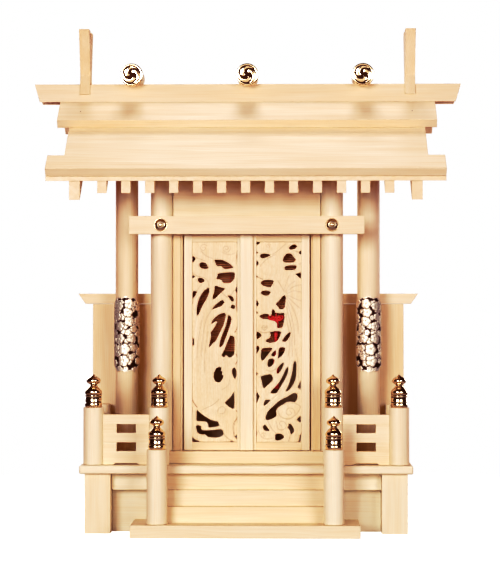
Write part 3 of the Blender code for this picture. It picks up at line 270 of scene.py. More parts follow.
def cypress(name, grain, wood, carved):
    """Planed cypress whose year rings, fibres and tone run along one axis of the object."""
    finish = Finish(name)
    board = finish.attribute("board")
    place = finish.add(finish.place(GRAIN_TURN[grain]), board)
    wander = finish.streak(place, 0.22, 26.0, output="Color")
    pull = finish.node("ShaderNodeVectorMath", {0: wander, "Scale": 0.009}, operation="SCALE").outputs[0]
    rings = finish.node(
        "ShaderNodeTexWave", {"Vector": finish.add(place, pull), "Scale": math.tau / 20 / wood.ring},
        wave_type="RINGS", rings_direction="Z", wave_profile="SAW").outputs["Fac"]
    late = finish.math("POWER", rings, 2.6)
    fibres = finish.streak(place, 0.018, 1500.0, 3.0)
    streaks = finish.streak(place, 0.05, 170.0)
    clouds = finish.streak(place, 0.3, 16.0)
    tone = finish.noise(board, 37.0, 0.0)
    shade = finish.math("MULTIPLY", late, 0.17)
    for source, low, high, palest, deepest in (
            (streaks, 0.3, 0.7, -0.09, 0.13), (fibres, 0.3, 0.7, -0.09, 0.09),
            (clouds, 0.3, 0.7, -0.09, 0.12), (tone, 0.35, 0.65, 0.20, 0.34)):
        shade = finish.math("ADD", shade, finish.span(source, low, high, palest, deepest))
    # The piece's own tone; on some pieces it also carries painted light, on others painted shade.
    shade = finish.math("ADD", shade, finish.attribute("tone", "Fac"))
    colour = finish.mix(shade, opaque(wood.light), opaque(wood.dark))
    if carved:
        barbs = finish.span(finish.streak(place, 0.4, 640.0), 0.35, 0.68, 0.0, 0.26)
        colour = finish.mix(barbs, colour, opaque(tinted(wood.dark, 0.92)))
        # Painted shade along the engraved lines, along the panel's edges and at the openings' rims.
        colour = finish.mix(finish.attribute("groove", "Fac"), colour, opaque(GROOVE_SHADE_COLOUR))
    finish.coat({
        "Base Color": colour, "Specular IOR Level": 0.32,
        "Roughness": finish.span(streaks, 0.3, 0.7, wood.roughness - 0.06, wood.roughness + 0.08)})
    height = finish.math("ADD", finish.math("MULTIPLY", fibres, 0.6), finish.math("MULTIPLY", late, 0.4))
    finish.bump(height, 0.16, 0.00012)
    return finish.material


def gilding(name, colour, recess, roughness, metal=1.0):
    """Polished gilding on thin pressed brass, with painted shade that darkens the marked recesses."""
    finish = Finish(name)
    place = finish.place()
    cloud = finish.noise(place, 160.0)
    # Painted shade: the marked recesses are mixed toward the dark colour and made rougher.
    hollow = finish.attribute("recess", "Fac")
    dullness_and_shade = finish.span(cloud, 0.35, 0.7, 0.0, 0.25)
    bright = finish.mix(dullness_and_shade, opaque(colour), opaque(tinted(colour, 0.82)))
    polish = finish.span(cloud, 0.3, 0.7, roughness - 0.04, roughness + 0.06)
    finish.coat({
        "Base Color": finish.mix(hollow, bright, opaque(recess)), "Metallic": metal,
        "Roughness": finish.math("ADD", polish, finish.math("MULTIPLY", hollow, 0.3))})
    finish.bump(finish.noise(place, 420.0, 1.0), 0.10, 0.00012)
    return finish.material


def split_reed(name, colour):
    """Dark split reed: streaked along its length, each reed of its own tone."""
    finish = Finish(name)
    board = finish.attribute("board")
    place = finish.add(finish.place(GRAIN_TURN["x"]), board)
    streaks = finish.streak(place, 0.03, 900.0)
    tone = finish.span(finish.noise(board, 90.0, 0.0), 0.3, 0.7, 0.0, 1.0)
    body = finish.mix(tone, opaque(colour), opaque(tinted(colour, 0.55)))
    pale = finish.span(streaks, 0.35, 0.65, 0.0, 0.45)
    finish.coat({
        "Base Color": finish.mix(pale, body, opaque(tinted(colour, 1.55))),
        "Roughness": finish.span(streaks, 0.3, 0.7, 0.42, 0.6)})
    finish.bump(streaks, 0.2, 0.0001)
    return finish.material


def silk(name, colour):
    """Twisted silk: fine slanting threads with a soft sheen."""
    finish = Finish(name)
    place = finish.place((0.0, 0.5, 0.0))
    threads = finish.node(
        "ShaderNodeTexWave", {"Vector": place, "Scale": 420.0, "Distortion": 1.2, "Detail": 1.0},
        wave_type="BANDS", bands_direction="X", wave_profile="SIN").outputs["Fac"]
    finish.coat({
        "Base Color": finish.mix(threads, opaque(tinted(colour, 0.55)), opaque(colour)),
        "Roughness": finish.span(threads, 0.0, 1.0, 0.62, 0.42),
        "Sheen Weight": 0.3, "Sheen Roughness": 0.4})
    finish.bump(threads, 0.5, 0.00015)
    return finish.material


def paper_floor(name, colour):
    """Studio paper with a barely seen tooth, white to the camera, that fades out away from the shrine."""
    finish = Finish(name)
    place = finish.place()
    tooth = finish.noise(place, 320.0, 3.0)
    away = finish.node("ShaderNodeVectorMath", {"Vector": place}, operation="LENGTH").outputs["Value"]
    finish.coat({
        "Base Color": finish.mix(tooth, opaque(colour), opaque(tinted(colour, 0.985))),
        "Roughness": finish.span(tooth, 0.3, 0.7, 0.85, 0.95), "Specular IOR Level": 0.1,
        "Emission Color": opaque(WHITE),
        "Emission Strength": finish.node("ShaderNodeLightPath").outputs["Is Camera Ray"],
        "Alpha": finish.span(away, 0.34, 0.8, 1.0, 0.0)})
    finish.bump(tooth, 0.1, 0.0002)
    return finish.material


def finish_of(kind):
    """The material of that name, made from the settings the first time it is asked for."""
    if kind in bpy.data.materials:
        return bpy.data.materials[kind]
    scene = bpy.context.scene
    gilt, blind = scene.shrine_gilt, scene.shrine_blind
    if kind.startswith("cypress"):
        return cypress(kind, kind[-1], scene.shrine_wood, "carved" in kind)
    if kind == "gilt":
        return gilding(kind, gilt.colour, gilt.recess, gilt.roughness)
    if kind == "gilt_pressed":
        paler = tuple(part ** 0.55 for part in gilt.colour)
        return gilding(kind, paler, gilt.recess, gilt.roughness + 0.28, 0.7)
    if kind == "nail":
        return gilding(kind, NAIL_COLOUR, gilt.recess, 0.45)
    if kind == "reed":
        return split_reed(kind, blind.reed)
    if kind == "silk":
        return silk(kind, blind.cord)
    if kind == "paper":
        return paper_floor(kind, scene.shrine_studio.backdrop)
    raise ValueError(f"no finish is named {kind}")


def empty_mesh():
    """A mesh in the making that can hold its place in a log, its tone, and the painted shade of its recesses
    and grooves.
    """
    bm = bmesh.new()
    bm.verts.layers.float_vector.new("board")
    for name in ("recess", "groove", "tone"):
        bm.verts.layers.float.new(name)
    return bm


def figure(bm, seed, tone=0.0):
    """Give the whole mesh a place in a log of its own, so that no two boards share a figure, and a tone."""
    draw = random.Random(seed)
    side = draw.choice((-1, 1))
    pith = (side * draw.uniform(0.035, 0.09), draw.uniform(-0.08, 0.08), draw.uniform(-3.0, 3.0))
    layer = bm.verts.layers.float_vector["board"]
    for vert in bm.verts:
        vert[layer] = pith
    mark(bm.verts, bm, "tone", tone)


def mark(verts, bm, name, value):
    layer = bm.verts.layers.float[name]
    for vert in verts:
        vert[layer] = value


def clad(bm, number):
    """Give every face the piece's material of that number."""
    for face in bm.faces:
        face.material_index = number


def board_from(node):
    """A merged copy of a board of the frame, with its flat faces whole again."""
    bm = empty_mesh()
    bm.from_mesh(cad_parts[node].data)
    bmesh.ops.remove_doubles(bm, verts=bm.verts[:], dist=WELD)
    bmesh.ops.dissolve_limit(bm, angle_limit=FLAT_TURN, verts=bm.verts[:], edges=bm.edges[:],
                             use_dissolve_boundaries=False)
    return bm


def round_over(bm, edges, width):
    bmesh.ops.bevel(bm, geom=edges, offset=width, offset_type="OFFSET", segments=2, profile=0.5,
                    affect="EDGES", clamp_overlap=True, material=-1)


def ease(bm, width):
    """Plane a narrow round along every arris."""
    edges = [e for e in bm.edges if e.is_manifold and e.calc_face_angle() > ARRIS_TURN]
    if edges and width > 0:
        round_over(bm, edges, width)


def arrow(axis, reach):
    """A vector along one of the three axes."""
    made = Vector((0.0, 0.0, 0.0))
    made[axis] = reach
    return made


def everything(bm):
    return bm.verts[:] + bm.edges[:] + bm.faces[:]


def sawn(bm, low, high):
    """Keep what lies between two corners (None is no limit), and close what the saw opened."""
    for axis in range(3):
        for limit, side in ((low[axis], -1.0), (high[axis], 1.0)):
            if limit is None:
                continue
            bmesh.ops.bisect_plane(bm, geom=everything(bm), dist=WELD, plane_co=arrow(axis, limit),
                                   plane_no=arrow(axis, side), clear_outer=True)
            on_cut = [f for f in bm.faces if all(abs(v.co[axis] - limit) < WELD * 2 for v in f.verts)]
            bmesh.ops.delete(bm, geom=on_cut, context="FACES")
            open_edges = [e for e in bm.edges if e.is_boundary]
            if open_edges:
                bmesh.ops.holes_fill(bm, edges=open_edges, sides=0)
    return bm


def gather(parts):
    """One mesh of several, each of which keeps its own figure. The parts are used up."""
    whole = empty_mesh()
    for part in parts:
        mesh = bpy.data.meshes.new("part")
        part.to_mesh(mesh)
        part.free()
        whole.from_mesh(mesh)
        bpy.data.meshes.remove(mesh)
    return whole


def show(name, bm, kinds, body="shrine", nodes=(), smooth=False, turn=SMOOTH_TURN):
    """Make the finished piece of a mesh, and tell the frame what it rides on and stands for."""
    for face in bm.faces:
        face.smooth = smooth
    if smooth:
        for edge in bm.edges:
            edge.smooth = not (edge.is_manifold and edge.calc_face_angle() > turn)
    mesh = bpy.data.meshes.new(name)
    bm.to_mesh(mesh)
    bm.free()
    for kind in (kinds,) if isinstance(kinds, str) else kinds:
        mesh.materials.append(finish_of(kind))
    piece = bpy.data.objects.new(name, mesh)
    bpy.context.scene.collection.objects.link(piece)
    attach(piece, body)
    if nodes:
        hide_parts(*nodes)
    return piece


def plane_board(node, grain, body="shrine", cuts=(), width=None, tone=0.0):
    """Plane one board of the frame, whole or in parts. Each cut is (foot, head, grain) of a part."""
    cuts = cuts or ((None, None, grain),)
    width = bpy.context.scene.shrine_wood.arris if width is None else width
    kinds = sorted({"cypress_" + way for _, _, way in cuts})
    parts = []
    for number, (foot, head, way) in enumerate(cuts):
        part = sawn(board_from(node), (None, None, foot), (None, None, head))
        ease(part, width)
        figure(part, f"{node} {number}", tone)
        clad(part, kinds.index("cypress_" + way))
        parts.append(part)
    show(f"planed_{node}", gather(parts), kinds, body, (node,))


def plank(low, high, seed, width, tone=0.0):
    """A board between two corners, its arrises eased, with its own figure."""
    bm = empty_mesh()
    low, high = Vector(low), Vector(high)
    place = Matrix.Translation(middle(low, high)) @ Matrix.Diagonal((high - low).to_4d())
    bmesh.ops.create_cube(bm, size=1.0, matrix=place)
    ease(bm, width)
    figure(bm, seed, tone)
    return bm


def turned(profile, centre, axis="Z", steps=ROUND_STEPS):
    """Spin a half profile of (radius, height) round an axis through the centre."""
    bm = empty_mesh()
    centre = Vector(centre)
    along = arrow("XYZ".index(axis), 1.0)
    verts = [bm.verts.new(centre + Vector((r, 0.0, 0.0)) + along * h) for r, h in profile]
    edges = [bm.edges.new(pair) for pair in zip(verts, verts[1:])]
    bmesh.ops.spin(bm, geom=verts + edges, cent=centre, axis=along, angle=math.tau, steps=steps,
                   use_merge=True)
    bmesh.ops.remove_doubles(bm, verts=bm.verts[:], dist=WELD)
    bmesh.ops.recalc_face_normals(bm, faces=bm.faces[:])
    return bm


def in_metres(profile, way=1):
    """A half profile that is given in millimetres, as it is or turned end for end."""
    return [(radius * MM, way * height * MM) for radius, height in profile]


def rod_profile(radius, low, high, arris):
    """Half profile of a round bar with a small chamfer at both ends."""
    part = arris * 0.3
    return [(0.0, low), (radius - arris, low), (radius - part, low + part), (radius, low + arris),
            (radius, high - arris), (radius - part, high - part), (radius - arris, high), (0.0, high)]


def middle(low, high):
    return (low + high) / 2


def end_arris():
    """Width of the chamfer at the ends of a post or pillar."""
    return bpy.context.scene.shrine_wood.arris * 1.5


def round_bar(name, node, axis="Z", tone=PALE):
    """Turn a round post or column anew, as large as the frame's."""
    low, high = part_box(node)
    centre = middle(low, high)
    way = "XYZ".index(axis)
    profile = rod_profile((high.x - low.x) / 2, low[way] - centre[way], high[way] - centre[way], end_arris())
    bm = turned(profile, centre, axis)
    figure(bm, node, tone)
    show(name, bm, "cypress_" + axis.lower(), nodes=(node,), smooth=True)


# Half profile of an onion cap: radius and height above its foot, in millimetres.
CAP_PROFILE = (
    (0.0, 12.2), (6.25, 12.2), (6.3, 0.0), (8.6, 0.0), (8.9, 0.4), (8.9, 3.7), (8.65, 4.4), (8.1, 4.7),
    (8.1, 5.5), (8.5, 5.8), (8.5, 9.9), (8.1, 10.3), (8.1, 11.1), (8.6, 11.4), (8.85, 12.0), (8.6, 12.6),
    (8.2, 13.0), (8.7, 14.0), (8.9, 15.3), (8.75, 16.6), (8.2, 17.8), (7.2, 19.0), (5.9, 20.3), (4.6, 21.5),
    (3.7, 22.4), (3.2, 23.1), (3.25, 23.6), (3.9, 24.1), (5.2, 24.7), (6.4, 25.5), (7.15, 26.5), (7.4, 27.7),
    (7.15, 28.8), (6.4, 29.9), (5.2, 30.8), (3.9, 31.5), (2.6, 32.3), (1.5, 33.2), (0.65, 34.2), (0.0, 34.7))
# Hollows of the cap and of the stud that get painted shade: a span of height, and how dark the painted shade
# is.
CAP_SHADED_HOLLOWS = ((4.5, 5.7, 0.75), (10.1, 11.3, 0.75), (12.8, 13.2, 0.75), (22.6, 23.8, 0.75))
STUD_SHADED_HOLLOWS = ((0.80, 1.1, 0.5), (2.6, 2.85, 0.7))
# The stud's hollows count only this near to its middle, in metres.
STUD_GROUND = 0.0068
# Half profile of a beam stud: radius and height off the beam, in millimetres.
STUD_PROFILE = (
    (0.0, 0.0), (7.2, 0.0), (7.2, 0.55), (6.95, 0.95), (6.45, 1.0), (6.15, 0.85), (5.9, 1.15), (5.3, 1.75),
    (4.4, 2.3), (3.4, 2.65), (2.6, 2.75), (2.3, 2.7), (2.15, 3.1), (1.9, 3.7), (1.4, 4.05), (0.7, 4.2),
    (0.0, 4.2))
# Half profile of the tassel: radius and depth under its top, in millimetres.
TASSEL_PROFILE = (
    (0.0, 0.0), (0.9, 0.2), (1.7, 1.2), (2.3, 3.0), (2.5, 5.2), (2.2, 7.4), (1.6, 8.8), (1.45, 9.6),
    (1.9, 10.2), (1.9, 11.2), (1.6, 11.8), (2.0, 14.0), (2.4, 24.0), (2.7, 40.0), (2.95, 58.0), (3.0, 63.6),
    (0.0, 63.6))
# Half profile of a billet's crest: radius and depth behind its rim, in millimetres.
CREST_PROFILE = (
    (0.0, 1.7), (11.3, 1.7), (11.3, 7.4), (12.0, 7.4), (12.0, 0.7), (11.85, 0.25), (11.4, 0.0), (10.2, 0.0),
    (9.75, 0.25), (9.5, 0.95), (0.0, 0.95))
# Half profile of a nail's head: radius and height off the board, in millimetres.
NAIL_PROFILE = ((0.0, -0.8), (0.45, -0.8), (0.45, 0.0), (0.62, 0.04), (0.5, 0.14), (0.0, 0.18))
# Where the nails are: across, in from the foot of the board, and up. The roof boards lean this much.
NAILS_ACROSS = (-0.1795, 0.1775)
NAIL_INSET = 0.01485
NAIL_LEVEL = 0.4487
ROOF_LEAN = math.atan2(0.58910, 0.80806)
POST_NAMES = ("corner", "stair_top", "stair_foot")
BILLETS = ("left", "middle", "right")

# Joinery, in metres. The base's upper rail, and the post's tenon and its shoulder's gap under the cap:
BASE_RAIL = 0.0174
TENON = 0.006
CAP_GAP = 0.0003
# A railing's notched boards: where they meet above its foot, their arris, and how far from the middle
# of the rear post they end.
RAIL_LEVELS = (0.0234, 0.0426)
RAIL_ARRIS = 0.00025
RAIL_END = 0.01006
# The two steps of a jamb: their inner edges and their common outer edge, measured from the middle of
# the shrine, how far behind the door's face the first starts, and how deep the second is.
JAMB_FRONT = 0.06875
JAMB_REAR = 0.0674
JAMB_OUTER = 0.0708
JAMB_REBATE = 0.0019
JAMB_DEPTH = 0.002
# A door's frame: how far its pivots stand out above and below, and the widths of stiles and rails.
PIVOT_STUB = 0.0024
MEETING_STILE = 0.0098
HANGING_STILE = 0.0087
HEAD_RAIL = 0.0073
FOOT_RAIL = 0.0084
# A door's pivots: radius, length, chamfer, and how far they stand in from the outer edge.
PIVOT_RADIUS = 0.0015
PIVOT_LENGTH = 0.0026
PIVOT_ARRIS = 0.0002
PIVOT_INSET = 0.0035
# A door's panel: how far it lies behind the frame's face and reaches into the frame, how deep the
# wood falls at an opening, and the width of an engraved line. The last two are in the drawing's units:
# the gap between the points of a line, and how near points of the sheet are joined.
PANEL_INSET = 0.0015
PANEL_TONGUE = 0.002
RIM_FALL = 0.0007
KNIFE_WIDTH = 0.00045
DOT_GAP = 0.25
SHEET_WELD = 0.001
# Cloud curls: points to a turn, the angle they start from, how far in they wind, and their depth.
CURL_STEPS = 18
CURL_START = 0.6
CURL_REACH = 0.85
CURL_DEPTH = 0.3
# The blind: height of its head rail, how far its sheet lies behind the rail's face, and its drop. Then
# its reeds and the threads that bind them, how far off the sheet's middle and where across.
BLIND_HEAD = 0.007
BLIND_SHEET = 0.0043
BLIND_DROP = 0.129
REED_RADIUS = 0.0007
THREAD_RADIUS = 0.00025
THREAD_OFF = 0.00075
THREADS_ACROSS = (-0.052, -0.018, 0.018, 0.052)
# The cord: where it hangs, how far it lies behind the rail's face, its radius, how far under the knot
# it ends, and its points. The knot: its height, the sizes of its two rounds, its radius and points.
CORD_ACROSS = 0.0312
CORD_BEHIND = 0.00195
CORD_RADIUS = 0.0009
CORD_END = 0.0590
CORD_POINTS = 30
KNOT_LEVEL = 0.2232
KNOT_SIZES = (0.0088, 0.0056)
KNOT_RADIUS = 0.00135
KNOT_POINTS = 60
# The tassel starts this far under the knot, is this deep for its width, and has this many folds.
TASSEL_UNDER = 0.0094
TASSEL_FLAT = 0.62
TASSEL_FOLDS = 20
# A sleeve, in millimetres: the radius that it is unrolled by, the one that its blossoms were read at,
# how much bigger than read they are, the spacing and size of the filling blossoms, the steps along
# half its edge, and the spacing of the points that its relief is pressed with.
UNROLLED = 13.2
READ_AT = 13.5
BLOSSOM_GROWTH = 1.28
FILL_ACROSS = 9.0
FILL_UP = 8.0
FILL_RADIUS = 4.0
EDGE_STEPS = 48
PRESS_STEP = 0.5
# A crest's three commas, in millimetres: how far out the head stands, its radius, and how far the tail
# drifts out. Then the tail's sweep, the first head's angle in degrees, and the steps of the outline.
COMMA_PLACE = 4.6
COMMA_RADIUS = 2.45
COMMA_DRIFT = 4.6
COMMA_SWEEP = math.radians(128)
COMMA_START = 52
COMMA_STEPS = 14
# In metres: a comma's foot behind the rim, its height and its arris, and the radius and depth
# behind the rim of the ground that is painted dark as shade.
COMMA_FOOT = 0.0010
COMMA_HEIGHT = 0.00085
COMMA_ARRIS = 0.00025
CREST_GROUND = 0.0096
CREST_DEPTH = 0.0011

# The camera: its place to the right and up, how it is turned, and the width of its film.
CAMERA_ACROSS = 0.0477
CAMERA_UP = 0.2325
CAMERA_TURN = (math.radians(90.845), 0.0, math.radians(1.185))
SENSOR_WIDTH = 36.0
# The lamps: place, aim, width and height, the setting that holds their power, and colour.
FRONT_AIM = (0.0, -0.02, 0.24)
REAR_AIM = (0.0, 0.02, 0.24)
ROOF_AIM = (0.0, 0.0, 0.4)
LAMPS = {
    "lamp_left": ((-0.80, -2.05, 0.70), FRONT_AIM, (0.8, 0.9), "key", (0.805, 0.895, 1.0)),
    "lamp_right": ((1.20, -1.90, 0.62), FRONT_AIM, (0.9, 1.0), "fill", (0.805, 0.89, 0.99)),
    "lamp_back": ((-0.95, 1.95, 0.80), REAR_AIM, (1.1, 1.1), "back", (0.81, 0.89, 1.0)),
    "lamp_side": ((1.35, 1.55, 0.55), REAR_AIM, (1.1, 1.1), "back", (0.81, 0.89, 1.0)),
    "lamp_top": ((0.0, 0.55, 2.1), ROOF_AIM, (0.7, 0.6), "top", (0.80, 0.89, 1.0)),
}
# The room that lights the wood: colours of its foot and ceiling, where the ceiling starts, and power.
ROOM_FOOT = (0.80, 0.13, 0.05)
ROOM_CEILING = (1.0, 0.55, 0.36)
CEILING_START = 0.75
ROOM_POWER = 0.27
# What gleaming things mirror: the dark of the room, the pale front, and the turn from one to the other.
MIRROR_DARK = (0.030, 0.013, 0.010)
MIRROR_PALE = (0.95, 0.86, 0.74)
MIRROR_TURN = (-0.90, -0.97)
VIEW_GAMMA = 0.8
# Tone curves of the view, as pairs of scene and shown brightness: red, green, blue.
FILM = (
    ((0.38, 0.345), (0.566, 0.635), (0.784, 0.822)),
    ((0.12, 0.06), (0.253, 0.16), (0.40, 0.355), (0.587, 0.60), (0.823, 0.828)),
    ((0.05, 0.02), (0.144, 0.085), (0.268, 0.19), (0.40, 0.345), (0.65, 0.635)))

# The carver's drawing of each door panel is this many units wide and high, and is drawn out to
# the size of the panel that shows. Each opening is its outline, across and up from the lower left.
DRAWING_W = 48.4
DRAWING_H = 214.3

LEFT_OPENINGS = (
    ((0.3, 199.1), (2.4, 197.7), (3.5, 195.6), (2.2, 193.8), (0.8, 192.1), (0.3, 193.2)),
    ((8.8, 191.7), (11.2, 192.3), (14.2, 191.4), (16.1, 189), (17.3, 186.2), (14.2, 185.2),
     (10.6, 185.8), (8.3, 187.4), (7.7, 189.7)),
    ((23.6, 195.2), (27.5, 195), (31.5, 195), (35.4, 193.2), (39.4, 191.3), (42.1, 189), (44.2, 186.5),
     (40.1, 185.8), (36.2, 185.1), (33.8, 185.8), (31.5, 188.2), (29.9, 188.4), (26.9, 188.4),
     (25.2, 191.3)),
    ((0.3, 178.8), (1.6, 178.4), (2.5, 177.1), (1.8, 175.8), (0.4, 175.3)),
    ((5.7, 174.5), (7.5, 175.7), (10.2, 175.3), (12.2, 174.3), (13.4, 172.7), (11.2, 170.9),
     (9.1, 170.4), (6.9, 171.4)),
    ((27.5, 180.4), (31.5, 180.8), (37.8, 181.4), (45.3, 181.7), (45.5, 178), (44.9, 174.9),
     (42.9, 172.2), (40.5, 170.2), (33.4, 170.2), (32.3, 172.6), (30.7, 174.3), (25.6, 174.5),
     (26.9, 176.9)),
    ((24.4, 167.7), (27.9, 166.3), (31.5, 164.9), (35.4, 164.4), (32.3, 161.3), (28.3, 157.8),
     (25.2, 154.2), (22, 152.7), (22.2, 156.2), (23.6, 160.1)),
    ((16.9, 164.8), (18.1, 164.8), (18.1, 160.9), (16.9, 157), (15, 152.7), (11.8, 147.6), (9.4, 142.9),
     (7.5, 138.2), (5.7, 135.1), (4.9, 138.2), (4.9, 142.9), (5.9, 148.4), (7.5, 153.5), (10.2, 158.5),
     (13.4, 162.4)),
    ((0.4, 161.5), (5.4, 161.3), (3.5, 157.8), (0.8, 153.5), (0.4, 153.9)),
    ((48.2, 166.7), (48.2, 160.2), (46.6, 161.3), (46.3, 163.2), (47.4, 164.8)),
    ((32.3, 152.3), (33.4, 150.7), (34.6, 149.2), (32.7, 147.6), (31.5, 145.7), (26.8, 144.1),
     (23.6, 142.9), (21.1, 141.5), (22.8, 144.5), (26.8, 148.4)),
    ((38, 157), (40.1, 156.6), (42.5, 155.8), (44.1, 153.9), (44.7, 151.1), (42.9, 150.1), (40.9, 152.3),
     (39.4, 155)),
    ((41.3, 144.9), (42.9, 147.2), (45.6, 146.1), (45.5, 142.3), (43.3, 142.9), (41.3, 143.7)),
    ((35.4, 137.9), (35.8, 134.4), (34.6, 129.7), (33.4, 125), (30.7, 119.5), (28.3, 114.9), (26, 109.4),
     (24, 107.4), (22, 105.9), (20.1, 103.2), (17.9, 101.4), (18.5, 104.7), (19.5, 109.4), (20.5, 113.3),
     (19.7, 117.2), (22, 119.5), (24.4, 123.4), (27.2, 128.9), (25.2, 129.3), (22.8, 128), (20.3, 126.6),
     (21.6, 129.7), (24.4, 133.2), (28.3, 136.3), (31.5, 137.6)),
    ((38.6, 135.9), (40.9, 134.4), (42.1, 132.4), (41.3, 128.1), (39.4, 121.9), (37.8, 117.2),
     (35.8, 111.7), (34.2, 107.1), (32.7, 103.9), (29.9, 101.4), (29.1, 102.4), (29.9, 107.8),
     (32.3, 114.9), (33.4, 118), (35.4, 122.7), (37, 127.3), (37.8, 132)),
    ((40.9, 114.5), (42.5, 113.3), (45.3, 112.5), (45.3, 103.9), (45.1, 94.6), (43.3, 92.4),
     (40.5, 90.3), (38.2, 91.6), (36, 93.6), (34.6, 91.3), (32.7, 91.3), (31.6, 92.9), (33.4, 96.5),
     (35.4, 100.8), (37.8, 107.1), (38.6, 108.6)),
    ((0.4, 111.6), (1.6, 110.2), (2, 107.1), (1.8, 104.7), (1.2, 103.3), (0.5, 103.2)),
    ((27.5, 80), (31.1, 80), (31.1, 77.9), (30.3, 75.9), (32.3, 75.8), (31.5, 72), (33.4, 71.1),
     (32.3, 67.3), (30.3, 64.6), (27.7, 63.6), (24.4, 65.4), (23, 69.7), (23.6, 74.4), (25.2, 77.9)),
    ((44.9, 79.8), (46.6, 78.3), (47.4, 74.4), (47.1, 70.5), (45.8, 67), (44.1, 70.1), (42.7, 74.4),
     (43.1, 77.9)),
    ((45.1, 54.5), (45.3, 35), (40.9, 36.9), (37.8, 39.3), (35, 42), (37.8, 44.7), (40.9, 47.8),
     (43.3, 51)),
    ((5.1, 34.4), (7.5, 32.2), (11, 29.1), (15, 26.4), (18.9, 24.1), (23.6, 22.3), (27.5, 22),
     (28.3, 19.8), (29.1, 17.8), (26.8, 16.6), (22, 16), (17.7, 15.5), (17.3, 19), (15.7, 21.7),
     (13.4, 22.3), (4.6, 22.3), (4.6, 28.3)),
    ((4.1, 17.4), (6.7, 17.8), (9.4, 17), (9.4, 14.7), (10.2, 12.7), (16.5, 12.4), (23.6, 12.9),
     (31.1, 13.9), (32.7, 12), (34, 9.2), (32.3, 6.9), (29.1, 5.3), (24.4, 4.8), (19.7, 5.1),
     (16.5, 5.7), (14.2, 8.3), (9.4, 8.3), (6.3, 9.6), (4.6, 12.7)),
    ((0.2, 5.3), (1.6, 3.8), (3.5, 2.2), (7.2, 1.4), (7.5, 0.3), (0.2, 0.3)),
    ((47.8, 7.9), (48.1, 5.7), (47.6, 2.5), (46.4, 4.9), (45.5, 6.1)),
    ((41.9, 1.8), (43.9, 0.9), (43.8, 0.3), (40.1, 0.3)),
)
